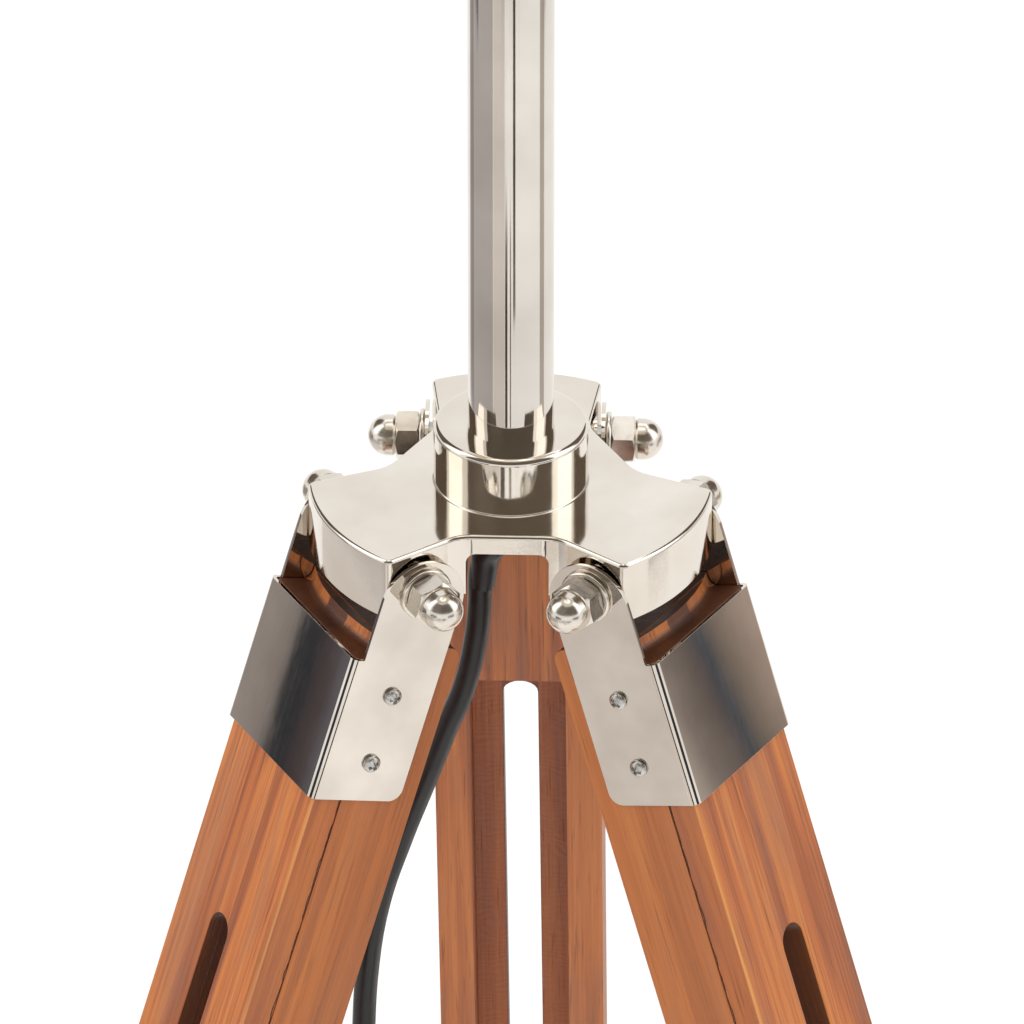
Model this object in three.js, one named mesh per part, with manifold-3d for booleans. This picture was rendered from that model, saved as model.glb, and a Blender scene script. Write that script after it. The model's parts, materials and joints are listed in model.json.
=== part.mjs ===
// Tripod floor lamp: a cast three-arm hub carries a tube pole, a drum shade and three slotted
// wooden legs. Each leg folds on a threaded pivot stud and telescopes on a clamp bolt.
// Millimetres, +Z up, floor at z = 0. The back leg points along +Y.
import * as THREE from 'three';
import Module from 'manifold-3d';
import { mergeVertices } from 'three/addons/utils/BufferGeometryUtils.js';

const wasm = await Module();
wasm.setup();

// Clearances
const restGap = 0.3; // between pieces that touch
const slideGap = 0.5; // between wood that slides in wood
const boltGap = 0.3; // radial, around a bolt or screw
const overcut = 2; // how far a cutter passes a face

// Hub casting
const hubRadius = 59;
const hubDepth = 19;
const webThickness = 6;
const waistDistance = 33.5; // pole axis to the flat between two arms
const waistFillet = 4; // length of the blend from waist to flank
const flankFlare = THREE.MathUtils.degToRad(7);
const hubEdgeRadius = 0.8;
const archHalfWidth = 12;
const archRadius = 3;
const pocketWall = 4;
const pocketStart = 29;
const collarDiameter = 45;
const collarHeight = 18.7;
const collarEdgeRadius = 2;
const hubRecessRadius = 22;
const bossRadius = 7;

// Pole and what clamps it
const poleDiameter = 25;
const poleThread = 24;
const poleBore = 21.4;
const poleThreadLength = 16;
const poleLength = 308; // above the hub's top face
const ringNutFlats = 34;
const ringNutHeight = 7;
const bushBore = 17;
const bushFlange = 1.5;
const bushSleeve = 8;

// Legs
const legTilt = THREE.MathUtils.degToRad(18.7);
const pivotRadius = 42.3;
const pivotDrop = 12.8;
const legWidth = 50;
const boardThickness = 10;
const railDepth = 24.8;
const railWidth = 10.5;
const boardFace = 15.2; // outer face of the board, out from the pivot line
const upperLegEnd = 520; // all leg stations are measured along the leg from the pivot
const upperLegTop = 18.5;
const ledgeStation = 22.9;
const ledgeWallOffset = 9; // top step's wall, out from the pivot line
const coveRadius = 2.5;
const blockEnd = 90;
const slotWidth = 10.6;
const slotStart = 121.5;
const slotEnd = 490;
const boardChamfer = 1;
const topRounding = 4;
const lowerLegLength = 480;
const legOverlap = 135;
const clampSetback = 25; // clamp bolt below the lower leg's top end
const keeperSetback = 5;
const keeperHeight = 25;
const keeperThickness = 1.5;

// Cap brackets, folded from sheet
const sheet = 1.2;
const capEnd = 68.5;
const cheekBack = -13.9;
const earFront = 13.0;
const earTop = 9.8;
const bendRadius = 2.4;
const cheekCorner = 4;
const capScrewStations = [34, 56];

// Fasteners
const studRadius = 4;
const washerThickness = 1.6;
const nutFlats = 13;
const nutHexHeight = 6.7;
const nutHeight = 15;
const nutDomeRadius = 6.1;
const nutBoreDepth = 11;
const screwRadius = 1.6;
const screwHeadRadius = 2.7;
const screwHeadHeight = 2;
const screwLength = 14;
const clampHeadRadius = 8;
const clampHeadHeight = 3;
const knobRadius = 12.5;
const knobLobe = 1.2;
const knobLobes = 8;
const knobHeight = 14;
const knobBoreDepth = 12;

// Feet
const bootWall = 2;
const bootSkirt = 22;
const soleThickness = 8;

// Lamp head
const holderRadius = 19.5;
const holderFlangeRadius = 23;
const holderHeight = 58;
const holderFlangeStation = 30;
const holderFlangeThickness = 3;
const holderSocketRadius = 14;
const holderPlugDepth = 10;
const holderPlugBore = 9;
const carrierPlate = 1.6;
const carrierPlateRadius = 26;
const shadeRingHeight = 6.5;
const shadeRingRadius = 25;
const bulbCapRadius = 13;
const bulbRadius = 30;
const bulbLength = 97;
const switchStation = 14;
const switchKnobRadius = 6;
const switchKnobLength = 11;
const shadeBottomDiameter = 380;
const shadeTopDiameter = 320;
const shadeHeight = 240;
const shadeWall = 1.5;
const shadeDrop = 14; // fitter plate above the shade's bottom edge
const wireRadius = 2;
const carrierArmRadius = 1.8;

// Mains cord
const cordDiameter = 7;
const cordOffset = -4.7; // the cord leans on the left of the bush
const coilRadius = 38;
const coilCentre = new THREE.Vector2(-155, 92);
const coilTurnsWide = 2;
const coilTurnsHigh = 2;

// Worked out from the driving dimensions
const boardBack = boardFace - boardThickness;
const railFront = boardBack - restGap;
const railBack = railFront - railDepth;
const halfWidth = legWidth / 2;
const channelHalf = halfWidth - railWidth;
const lowerLegStart = upperLegEnd - legOverlap;
const lowerLegEnd = lowerLegStart + lowerLegLength;
const lowerFront = boardBack - slideGap;
const lowerBack = railBack + slideGap;
const lowerHalf = channelHalf - slideGap;
const lowerCentre = (lowerFront + lowerBack) / 2;
const soleStation = lowerLegEnd + soleThickness;
const clampStation = lowerLegStart + clampSetback;
const pivotHeight = soleStation * Math.cos(legTilt) - lowerCentre * Math.sin(legTilt);
const hubTop = pivotHeight + pivotDrop;
const poleTop = hubTop + poleLength;
const cheekInner = halfWidth + restGap;
const cheekOuter = cheekInner + sheet;
const capInner = boardFace + restGap;
const capOuter = capInner + sheet;
const nutSeat = cheekOuter + restGap / 2 + washerThickness + restGap / 2;
const studHalf = nutSeat + nutBoreDepth - boltGap - 0.2;
const knobSeat = boardFace + restGap / 2 + washerThickness + restGap / 2;
const bushBottom = hubTop - poleThreadLength - restGap - bushFlange;
const fitterStation = poleTop + holderFlangeStation + holderFlangeThickness + restGap;
const shadeBottom = fitterStation - shadeDrop;
const armAngles = {
  back: Math.PI / 2,
  left: (7 * Math.PI) / 6,
  right: (11 * Math.PI) / 6,
};

const material = (color, roughness, metalness) =>
  new THREE.MeshStandardMaterial({ color, roughness, metalness });
const nickel = material(0xe4ded6, 0.12, 1);
const zincSteel = material(0xb9bbbd, 0.35, 1);
const teak = material(0x96573a, 0.6, 0);
const darkTeak = material(0x7a4532, 0.65, 0);
const blackPvc = material(0x141416, 0.4, 0);
const rubber = material(0x1d1d1e, 0.8, 0);
const blackPlastic = material(0x1a1a1b, 0.35, 0);
const linen = material(0xe9e2d3, 0.9, 0);
const whiteWire = material(0xe6e6e2, 0.4, 0);
const opalGlass = material(0xf7f4ea, 0.2, 0);

// Merges a geometry's vertices and turns its faces outward.
function closed(geometry) {
  const bare = geometry.clone();
  bare.deleteAttribute('normal');
  bare.deleteAttribute('uv');
  const merged = mergeVertices(bare, 1e-4);
  const index = Array.from(merged.index.array);
  const triangles = [];
  for (let i = 0; i < index.length; i += 3) {
    const [a, b, c] = [index[i], index[i + 1], index[i + 2]];
    if (a !== b && b !== c && c !== a) triangles.push(a, b, c);
  }
  const corner = (i) => new THREE.Vector3().fromBufferAttribute(merged.attributes.position, i);
  let volume = 0;
  for (let i = 0; i < triangles.length; i += 3) {
    const [a, b, c] = [corner(triangles[i]), corner(triangles[i + 1]), corner(triangles[i + 2])];
    volume += a.dot(b.cross(c));
  }
  if (volume < 0) triangles.reverse();
  merged.setIndex(triangles);
  return merged;
}

function solid(geometry) {
  const shell = closed(geometry);
  return new wasm.Manifold(new wasm.Mesh({
    numProp: 3,
    vertProperties: new Float32Array(shell.attributes.position.array),
    triVerts: new Uint32Array(shell.index.array),
  }));
}

function geometryOf(manifold) {
  const mesh = manifold.getMesh();
  const geometry = new THREE.BufferGeometry();
  geometry.setAttribute('position', new THREE.BufferAttribute(mesh.vertProperties, 3));
  geometry.setIndex(new THREE.BufferAttribute(mesh.triVerts, 1));
  return geometry;
}

const join = (first, ...others) => others.reduce((sum, part) => sum.add(solid(part)), solid(first));
const cut = (body, ...tools) => tools.reduce((rest, tool) => rest.subtract(solid(tool)), body);

function addMesh(parent, name, shape, look) {
  const geometry = shape.isBufferGeometry ? closed(shape) : geometryOf(shape);
  geometry.computeVertexNormals();
  const mesh = new THREE.Mesh(geometry, look);
  mesh.name = name;
  parent.add(mesh);
}

const axisX = new THREE.Vector3(1, 0, 0);
const axisY = new THREE.Vector3(0, 1, 0);
const axisZ = new THREE.Vector3(0, 0, 1);

// A plan outline (x, y) raised from low to high along z.
function prism(shape, low, high, curveSegments = 6) {
  const settings = { depth: high - low, bevelEnabled: false, curveSegments };
  return new THREE.ExtrudeGeometry(shape, settings).translate(0, 0, low);
}

// A side outline (x, z) run across y from low to high.
function crossPrism(shape, low, high, curveSegments = 6) {
  const basis = new THREE.Matrix4().makeBasis(axisX, axisZ, axisY.clone().negate());
  return prism(shape, -high, -low, curveSegments).applyMatrix4(basis);
}

// A front outline (y, z) run along x from low to high.
function depthPrism(shape, low, high, curveSegments = 6) {
  const basis = new THREE.Matrix4().makeBasis(axisY, axisZ, axisX);
  return prism(shape, low, high, curveSegments).applyMatrix4(basis);
}

function box(x0, x1, y0, y1, z0, z1) {
  const geometry = new THREE.BoxGeometry(x1 - x0, y1 - y0, z1 - z0);
  return geometry.translate((x0 + x1) / 2, (y0 + y1) / 2, (z0 + z1) / 2);
}

// A profile of [radius, height] pairs turned about z.
function turned(profile, segments = 32) {
  const points = profile.map(([radius, height]) => new THREE.Vector2(radius, height));
  return new THREE.LatheGeometry(points, segments).rotateX(Math.PI / 2);
}

// A ring profile closes on itself.
const turnedRing = (profile, segments = 32) => turned([...profile, profile[0]], segments);

const rodZ = (radius, low, high, segments = 16) =>
  new THREE.CylinderGeometry(radius, radius, high - low, segments)
    .rotateX(Math.PI / 2)
    .translate(0, 0, (low + high) / 2);
const rodY = (radius, low, high, segments = 16) =>
  new THREE.CylinderGeometry(radius, radius, high - low, segments).translate(0, (low + high) / 2, 0);
const rodX = (radius, low, high, segments = 16) =>
  new THREE.CylinderGeometry(radius, radius, high - low, segments)
    .rotateZ(Math.PI / 2)
    .translate((low + high) / 2, 0, 0);

function polygon(points) {
  return new THREE.Shape(points.map(([x, y]) => new THREE.Vector2(x, y)));
}

function circlePath(radius) {
  const path = new THREE.Path();
  path.absarc(0, 0, radius, 0, 2 * Math.PI, true);
  return path;
}

// ---- Hub casting: heights are from its top face ----

const planPoint = (angle, along, across) => new THREE.Vector2(
  along * Math.cos(angle) - across * Math.sin(angle),
  along * Math.sin(angle) + across * Math.cos(angle),
);
const endAlong = Math.sqrt(hubRadius ** 2 - halfWidth ** 2);
const flankAt = (along) => halfWidth - (endAlong - along) * Math.tan(flankFlare);
const gapHalfAngle = Math.PI / 3;
const rootAlong = (waistDistance - flankAt(0) * Math.sin(gapHalfAngle))
  / (Math.cos(gapHalfAngle) + Math.tan(flankFlare) * Math.sin(gapHalfAngle));

// The outline runs counterclockwise: round each arm's end, down its flank, across the waist.
function hubOutline() {
  const outline = new THREE.Shape();
  const endAngle = Math.asin(halfWidth / hubRadius);
  const angles = Object.values(armAngles);
  angles.forEach((angle, i) => {
    const next = angles[(i + 1) % angles.length];
    const root = planPoint(angle, rootAlong, flankAt(rootAlong));
    const nextRoot = planPoint(next, rootAlong, -flankAt(rootAlong));
    const flankStart = planPoint(angle, rootAlong + waistFillet, flankAt(rootAlong + waistFillet));
    const flankEnd = planPoint(next, rootAlong + waistFillet, -flankAt(rootAlong + waistFillet));
    const waist = nextRoot.clone().sub(root).normalize().multiplyScalar(waistFillet);
    const waistStart = root.clone().add(waist);
    const waistEnd = nextRoot.clone().sub(waist);
    outline.absarc(0, 0, hubRadius, angle - endAngle, angle + endAngle, false);
    outline.lineTo(flankStart.x, flankStart.y);
    outline.quadraticCurveTo(root.x, root.y, waistStart.x, waistStart.y);
    outline.lineTo(waistEnd.x, waistEnd.y);
    outline.quadraticCurveTo(nextRoot.x, nextRoot.y, flankEnd.x, flankEnd.y);
  });
  return outline;
}

// The open arch under the web between two arms, from the centre outward along the angle.
function archCutter(angle) {
  const arch = new THREE.Shape();
  const floor = -hubDepth - overcut;
  arch.moveTo(-archHalfWidth, floor);
  arch.lineTo(archHalfWidth, floor);
  const crown = archHalfWidth - archRadius;
  const spring = -webThickness - archRadius;
  arch.absarc(crown, spring, archRadius, 0, Math.PI / 2, false);
  arch.absarc(-crown, spring, archRadius, Math.PI / 2, Math.PI, false);
  return crossPrism(arch, -hubRadius, 0, 3).rotateZ(angle + Math.PI / 2);
}

// The cored pocket inside an arm, open below.
function pocketCutter(angle) {
  const pocket = new THREE.Shape();
  const reach = hubRadius - pocketWall;
  const inside = flankAt(endAlong) - pocketWall;
  const endAngle = Math.asin(inside / reach);
  pocket.moveTo(pocketStart, -flankAt(pocketStart) + pocketWall);
  pocket.absarc(0, 0, reach, -endAngle, endAngle, false);
  pocket.lineTo(pocketStart, flankAt(pocketStart) - pocketWall);
  return prism(pocket, -hubDepth - overcut, -webThickness, 4).rotateZ(angle);
}

function hubCasting() {
  const depth = hubDepth - 2 * hubEdgeRadius;
  const plate = new THREE.ExtrudeGeometry(hubOutline(), {
    depth,
    curveSegments: 4,
    bevelThickness: hubEdgeRadius,
    bevelSize: hubEdgeRadius,
    bevelOffset: -hubEdgeRadius,
    bevelSegments: 1,
  }).translate(0, 0, -hubDepth + hubEdgeRadius);
  const collarRadius = collarDiameter / 2;
  const collarEdge = collarRadius - collarEdgeRadius * (1 - Math.SQRT1_2);
  const collar = turned([
    [0, -overcut],
    [collarRadius, -overcut],
    [collarRadius, collarHeight - collarEdgeRadius],
    [collarEdge, collarHeight - collarEdgeRadius * (1 - Math.SQRT1_2)],
    [collarRadius - collarEdgeRadius, collarHeight],
    [0, collarHeight],
  ], 32);
  let casting = join(plate, collar);
  for (const angle of Object.values(armAngles)) {
    const boss = rodY(bossRadius, -halfWidth, halfWidth, 16)
      .translate(pivotRadius, 0, -pivotDrop)
      .rotateZ(angle);
    casting = casting.add(solid(boss));
  }
  for (const angle of Object.values(armAngles)) {
    const studBore = rodY(studRadius + boltGap, -hubRadius, hubRadius, 12)
      .translate(pivotRadius, 0, -pivotDrop)
      .rotateZ(angle);
    casting = cut(casting, pocketCutter(angle), studBore, archCutter(angle + gapHalfAngle));
  }
  return cut(
    casting,
    rodZ(hubRecessRadius, -hubDepth - overcut, -webThickness, 28),
    rodZ(poleThread / 2 + restGap, -hubDepth, overcut, 24),
    rodZ(poleDiameter / 2 + restGap, 0, collarHeight + overcut, 24),
  );
}

// ---- Pole: heights are from the hub's top face ----

function poleTube() {
  return turnedRing([
    [poleThread / 2, -poleThreadLength],
    [poleThread / 2, restGap],
    [poleDiameter / 2, restGap],
    [poleDiameter / 2, poleLength],
    [poleBore / 2, poleLength],
    [poleBore / 2, -poleThreadLength],
  ]);
}

function hexagon(flats) {
  const radius = flats / Math.sqrt(3);
  const corners = [0, 1, 2, 3, 4, 5].map((i) => (i * Math.PI) / 3);
  return polygon(corners.map((angle) => [radius * Math.cos(angle), radius * Math.sin(angle)]));
}

function poleRingNut() {
  const outline = hexagon(ringNutFlats);
  outline.holes.push(circlePath(poleThread / 2 + restGap));
  const top = -webThickness - restGap;
  return prism(outline, top - ringNutHeight, top, 12);
}

function cordBush() {
  const seat = -poleThreadLength - restGap;
  return turnedRing([
    [poleThread / 2, seat - bushFlange],
    [poleThread / 2, seat],
    [poleBore / 2 - restGap, seat],
    [poleBore / 2 - restGap, seat + bushSleeve],
    [bushBore / 2, seat + bushSleeve],
    [bushBore / 2, seat - bushFlange],
  ], 24);
}

// ---- Leg pieces: x out from the pivot line, y across, z up along the leg ----

// The step in the leg's top end: an arc that follows the casting's end, with a cove at its foot.
function ledgeCutter() {
  const wallRadius = hubRadius;
  const high = -upperLegTop + overcut;
  const cove = [];
  for (let i = 0; i <= 3; i += 1) {
    const angle = (i / 3) * (Math.PI / 2);
    cove.push([
      wallRadius + coveRadius * (1 - Math.cos(angle)),
      -ledgeStation + coveRadius * (1 - Math.sin(angle)),
    ]);
  }
  const rim = wallRadius + legWidth;
  const profile = [...cove, [rim, -ledgeStation], [rim, high], [wallRadius, high]];
  return turnedRing(profile, 60).translate(ledgeWallOffset - wallRadius, 0, 0);
}

function faceBoard() {
  const section = polygon([
    [boardBack, -halfWidth],
    [boardFace - boardChamfer, -halfWidth],
    [boardFace, -halfWidth + boardChamfer],
    [boardFace, halfWidth - boardChamfer],
    [boardFace - boardChamfer, halfWidth],
    [boardBack, halfWidth],
  ]);
  const slot = new THREE.Shape();
  const slotRadius = slotWidth / 2;
  slot.absarc(0, -slotStart - slotRadius, slotRadius, 0, Math.PI, false);
  slot.absarc(0, -slotEnd + slotRadius, slotRadius, Math.PI, 2 * Math.PI, false);
  const board = solid(prism(section, -upperLegEnd, -upperLegTop));
  return cut(board, ledgeCutter(), depthPrism(slot, boardBack - overcut, boardFace + overcut, 5));
}

function railFrame() {
  const side = new THREE.Shape();
  side.moveTo(railBack, -upperLegEnd);
  side.lineTo(railFront, -upperLegEnd);
  side.lineTo(railFront, -upperLegTop);
  side.absarc(railBack + topRounding, -upperLegTop - topRounding, topRounding, Math.PI / 2, Math.PI, false);
  const channel = box(
    railBack - overcut, railFront + overcut, -channelHalf, channelHalf, -upperLegEnd - overcut, -blockEnd,
  );
  const frame = cut(solid(crossPrism(side, -halfWidth, halfWidth, 4)), ledgeCutter(), channel);
  const pilotEnd = cheekOuter - screwLength;
  const pilots = capScrewStations.flatMap((station) => [-1, 1].map((face) =>
    rodY(screwRadius + boltGap, pilotEnd, halfWidth + overcut, 8)
      .scale(1, face, 1)
      .translate(0, 0, -station)));
  return cut(frame, ...pilots);
}

// The sheet cap: front panel, two cheeks, and an ear on each cheek round the pivot.
function capBracket() {
  const wrap = new THREE.Shape();
  const innerBend = bendRadius - sheet;
  wrap.moveTo(cheekBack, -cheekOuter);
  wrap.absarc(capOuter - bendRadius, -cheekOuter + bendRadius, bendRadius, -Math.PI / 2, 0, false);
  wrap.absarc(capOuter - bendRadius, cheekOuter - bendRadius, bendRadius, 0, Math.PI / 2, false);
  wrap.lineTo(cheekBack, cheekOuter);
  wrap.lineTo(cheekBack, cheekInner);
  wrap.absarc(capInner - innerBend, cheekInner - innerBend, innerBend, Math.PI / 2, 0, true);
  wrap.absarc(capInner - innerBend, -cheekInner + innerBend, innerBend, 0, -Math.PI / 2, true);
  wrap.lineTo(cheekBack, -cheekInner);
  const side = new THREE.Shape();
  const earRadius = (earFront - cheekBack) / 2;
  const earCentre = (earFront + cheekBack) / 2;
  side.moveTo(cheekBack + cheekCorner, -capEnd);
  side.lineTo(capOuter + overcut, -capEnd);
  side.lineTo(capOuter + overcut, -ledgeStation);
  side.lineTo(earFront, -ledgeStation);
  side.absarc(earCentre, earTop - earRadius, earRadius, 0, Math.PI, false);
  side.absarc(cheekBack + cheekCorner, -capEnd + cheekCorner, cheekCorner, Math.PI, 1.5 * Math.PI, false);
  const wrapped = solid(prism(wrap, -capEnd - overcut, earTop + overcut, 2));
  const reach = cheekOuter + overcut;
  const blank = wrapped.intersect(solid(crossPrism(side, -reach, reach, 5)));
  const screwHoles = capScrewStations.map((station) =>
    rodY(screwRadius + boltGap, -reach, reach, 8).translate(0, 0, -station));
  return cut(blank, rodY(studRadius + boltGap, -reach, reach, 12), ...screwHoles);
}

// A closed-end nut on the stud, seated at y = 0 and pointing along +y.
function acornNut() {
  const dome = [];
  const domeCentre = nutHeight - nutDomeRadius;
  for (let i = 0; i <= 3; i += 1) {
    const angle = (i / 3) * (Math.PI / 2);
    const height = domeCentre + nutDomeRadius * Math.sin(angle);
    dome.push(new THREE.Vector2(nutDomeRadius * Math.cos(angle), height));
  }
  const neck = new THREE.LatheGeometry([
    new THREE.Vector2(0, 1),
    new THREE.Vector2(nutDomeRadius, 1),
    ...dome,
  ], 14);
  const corner = nutFlats / Math.sqrt(3);
  const hex = new THREE.CylinderGeometry(corner, corner, nutHexHeight, 6).translate(0, nutHexHeight / 2, 0);
  return cut(join(hex, neck), rodY(studRadius + boltGap, -overcut, nutBoreDepth, 12));
}

// A pan-head wood screw whose head sits at y = 0 and points along +y.
function panScrew() {
  const profile = [
    [0, -screwLength],
    [screwRadius, -screwLength + 1],
    [screwRadius, 0],
    [screwHeadRadius, 0],
    [screwHeadRadius, screwHeadHeight * 0.5],
    [screwHeadRadius * 0.7, screwHeadHeight * 0.88],
    [0, screwHeadHeight],
  ];
  return new THREE.LatheGeometry(profile.map(([r, y]) => new THREE.Vector2(r, y)), 12);
}

function lowerLeg() {
  const bar = box(lowerBack, lowerFront, -lowerHalf, lowerHalf, -lowerLegEnd, -lowerLegStart);
  const bore = rodX(studRadius + boltGap, lowerBack - overcut, lowerFront + overcut, 12);
  return cut(solid(bar), bore.translate(0, 0, -clampStation));
}

// A round-head bolt through the lower leg and the slot, its head on the inner side.
function clampBolt() {
  const seat = lowerBack - restGap;
  const tip = knobSeat + knobBoreDepth - boltGap;
  const profile = [
    [0, seat - clampHeadHeight],
    [clampHeadRadius * 0.55, seat - clampHeadHeight * 0.9],
    [clampHeadRadius * 0.9, seat - clampHeadHeight * 0.5],
    [clampHeadRadius, seat],
    [studRadius, seat],
    [studRadius, tip - 1],
    [studRadius - 1, tip],
    [0, tip],
  ];
  return turned(profile, 20).rotateY(Math.PI / 2).translate(0, 0, -clampStation);
}

function clampKnob() {
  const outline = [];
  const steps = knobLobes * 4;
  for (let i = 0; i < steps; i += 1) {
    const angle = (i / steps) * 2 * Math.PI;
    const radius = knobRadius - knobLobe * (1 - Math.cos(knobLobes * angle));
    outline.push([radius * Math.cos(angle), radius * Math.sin(angle)]);
  }
  const body = new THREE.ExtrudeGeometry(polygon(outline), {
    depth: knobHeight - 2,
    bevelThickness: 1,
    bevelSize: 1,
    bevelOffset: -1,
    bevelSegments: 1,
  }).translate(0, 0, 1);
  const knob = cut(solid(body), rodZ(studRadius + boltGap, -overcut, knobBoreDepth, 16));
  return geometryOf(knob).rotateY(Math.PI / 2).translate(knobSeat, 0, -clampStation);
}

// A rubber boot round the lower leg's end, its sole cut level with the floor.
function footBoot() {
  const side = lowerHalf + restGap + bootWall;
  const boot = box(
    lowerBack - restGap - bootWall, lowerFront + restGap + bootWall, -side, side,
    -soleStation - legWidth, -lowerLegEnd + bootSkirt,
  );
  const cavity = box(
    lowerBack - restGap, lowerFront + restGap, -lowerHalf - restGap, lowerHalf + restGap,
    -lowerLegEnd - restGap, -lowerLegEnd + bootSkirt + overcut,
  );
  const floor = box(-200, 200, -200, 200, -200, 0).rotateY(legTilt).translate(lowerCentre, 0, -soleStation);
  return cut(solid(boot), cavity, floor);
}

function keeperPlate() {
  const face = railBack - restGap;
  const low = -upperLegEnd + keeperSetback;
  return box(face - keeperThickness, face, -halfWidth, halfWidth, low, low + keeperHeight);
}

function addLeg(lamp, side, angle) {
  const arm = new THREE.Group();
  arm.rotation.z = angle;
  lamp.add(arm);
  const leg = new THREE.Group();
  leg.position.set(pivotRadius, 0, pivotHeight);
  leg.rotation.y = -legTilt;
  arm.add(leg);
  addMesh(leg, `face_board_${side}`, faceBoard(), teak);
  addMesh(leg, `rail_frame_${side}`, railFrame(), darkTeak);
  addMesh(leg, `keeper_plate_${side}`, keeperPlate(), zincSteel);
  addMesh(leg, `cap_bracket_${side}`, capBracket(), nickel);
  addMesh(leg, `lower_leg_${side}`, lowerLeg(), teak);
  addMesh(leg, `clamp_bolt_${side}`, clampBolt(), zincSteel);
  addMesh(leg, `clamp_knob_${side}`, clampKnob(), nickel);
  addMesh(leg, `foot_boot_${side}`, footBoot(), rubber);
  addMesh(leg, `pivot_stud_${side}`, rodY(studRadius, -studHalf, studHalf), zincSteel);
  for (const [hand, face] of [['a', 1], ['b', -1]]) {
    const turn = face > 0 ? 0 : Math.PI;
    const nut = geometryOf(acornNut()).translate(0, nutSeat, 0).rotateX(turn);
    addMesh(leg, `acorn_nut_${side}_${hand}`, nut, nickel);
    capScrewStations.forEach((station, i) => {
      const screw = panScrew().translate(0, cheekOuter + restGap / 2, 0).rotateX(turn);
      screw.translate(0, 0, -station);
      addMesh(leg, `cap_screw_${side}_${hand}${i + 1}`, screw, zincSteel);
    });
  }
}

// ---- Lamp head: heights are from the pole's top end ----

function lampholder() {
  const flangeTop = holderFlangeStation + holderFlangeThickness;
  const outer = turned([
    [0, -holderPlugDepth],
    [poleBore / 2 - restGap, -holderPlugDepth],
    [poleBore / 2 - restGap, restGap],
    [15, restGap],
    [holderRadius, switchStation],
    [holderRadius, holderFlangeStation],
    [holderFlangeRadius, holderFlangeStation],
    [holderFlangeRadius, flangeTop],
    [holderRadius, flangeTop],
    [holderRadius, holderHeight],
    [0, holderHeight],
  ], 24);
  const switchBore = rodX(studRadius + boltGap - 1, holderRadius - 8, holderRadius + overcut, 12)
    .translate(0, 0, switchStation + 6);
  return cut(
    solid(outer),
    rodZ(holderPlugBore, -holderPlugDepth - overcut, overcut, 20),
    rodZ(holderSocketRadius, holderFlangeStation - 2, holderHeight + overcut, 24),
    switchBore,
  );
}

function switchKnob() {
  const face = holderRadius + restGap;
  const profile = [
    [0, face - 7],
    [studRadius - 1, face - 7],
    [studRadius - 1, face],
    [switchKnobRadius, face],
    [switchKnobRadius, face + switchKnobLength - 1],
    [switchKnobRadius - 1, face + switchKnobLength],
    [0, face + switchKnobLength],
  ];
  return turned(profile, 16).rotateY(Math.PI / 2).translate(0, 0, switchStation + 6);
}

function shadeRing() {
  const low = holderFlangeStation + holderFlangeThickness + carrierPlate + 2 * restGap;
  return turnedRing([
    [holderRadius + restGap, low],
    [shadeRingRadius, low],
    [shadeRingRadius, low + shadeRingHeight],
    [holderRadius + restGap, low + shadeRingHeight],
  ], 28);
}

function bulb() {
  const seat = holderFlangeStation;
  const cap = holderHeight - seat;
  const globe = [];
  const globeCentre = seat + bulbLength - bulbRadius;
  const steps = 6;
  for (let i = 0; i <= steps; i += 1) {
    const angle = -Math.PI / 4 + (i / steps) * ((3 * Math.PI) / 4);
    globe.push([bulbRadius * Math.cos(angle), globeCentre + bulbRadius * Math.sin(angle)]);
  }
  globe[steps][0] = 0;
  return turned([
    [0, seat],
    [6, seat],
    [bulbCapRadius, seat + 6],
    [bulbCapRadius, seat + cap],
    ...globe,
  ], 20);
}

const shadeRadiusAt = (height) =>
  (shadeBottomDiameter + ((shadeTopDiameter - shadeBottomDiameter) * height) / shadeHeight) / 2;

function lampshade() {
  return turnedRing([
    [shadeRadiusAt(0), 0],
    [shadeRadiusAt(shadeHeight), shadeHeight],
    [shadeRadiusAt(shadeHeight) - shadeWall, shadeHeight],
    [shadeRadiusAt(0) - shadeWall, 0],
  ], 48);
}

// The wire spider that hangs the shade on the lampholder: plate, three arms and the lower ring.
function shadeCarrier() {
  const ringHeight = wireRadius + 1;
  const ringRadius = shadeRadiusAt(ringHeight + wireRadius) - shadeWall - restGap - wireRadius;
  const ring = new THREE.TorusGeometry(ringRadius, wireRadius, 5, 40).translate(0, 0, ringHeight);
  const plate = turnedRing([
    [holderRadius + restGap, shadeDrop],
    [carrierPlateRadius, shadeDrop],
    [carrierPlateRadius, shadeDrop + carrierPlate],
    [holderRadius + restGap, shadeDrop + carrierPlate],
  ], 28);
  const armStart = new THREE.Vector3(shadeRingRadius + restGap, 0, shadeDrop + carrierPlate / 2);
  const armEnd = new THREE.Vector3(ringRadius, 0, ringHeight);
  const span = armEnd.clone().sub(armStart);
  const arms = Object.values(armAngles).map((angle) =>
    rodX(carrierArmRadius, 0, span.length(), 6)
      .rotateY(Math.atan2(armStart.z - armEnd.z, span.x))
      .translate(armStart.x, armStart.y, armStart.z)
      .rotateZ(angle));
  return join(ring, plate, ...arms);
}

function addHead(lamp) {
  const onPole = new THREE.Group();
  onPole.position.z = poleTop;
  lamp.add(onPole);
  addMesh(onPole, 'lampholder', lampholder(), blackPlastic);
  addMesh(onPole, 'switch_knob', switchKnob(), blackPlastic);
  addMesh(onPole, 'shade_ring', shadeRing(), blackPlastic);
  addMesh(onPole, 'bulb', bulb(), opalGlass);
  const shade = new THREE.Group();
  shade.position.z = shadeBottom;
  lamp.add(shade);
  addMesh(shade, 'lampshade', lampshade(), linen);
  addMesh(shade, 'shade_carrier', shadeCarrier(), whiteWire);
}

// ---- Mains cord ----

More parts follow.
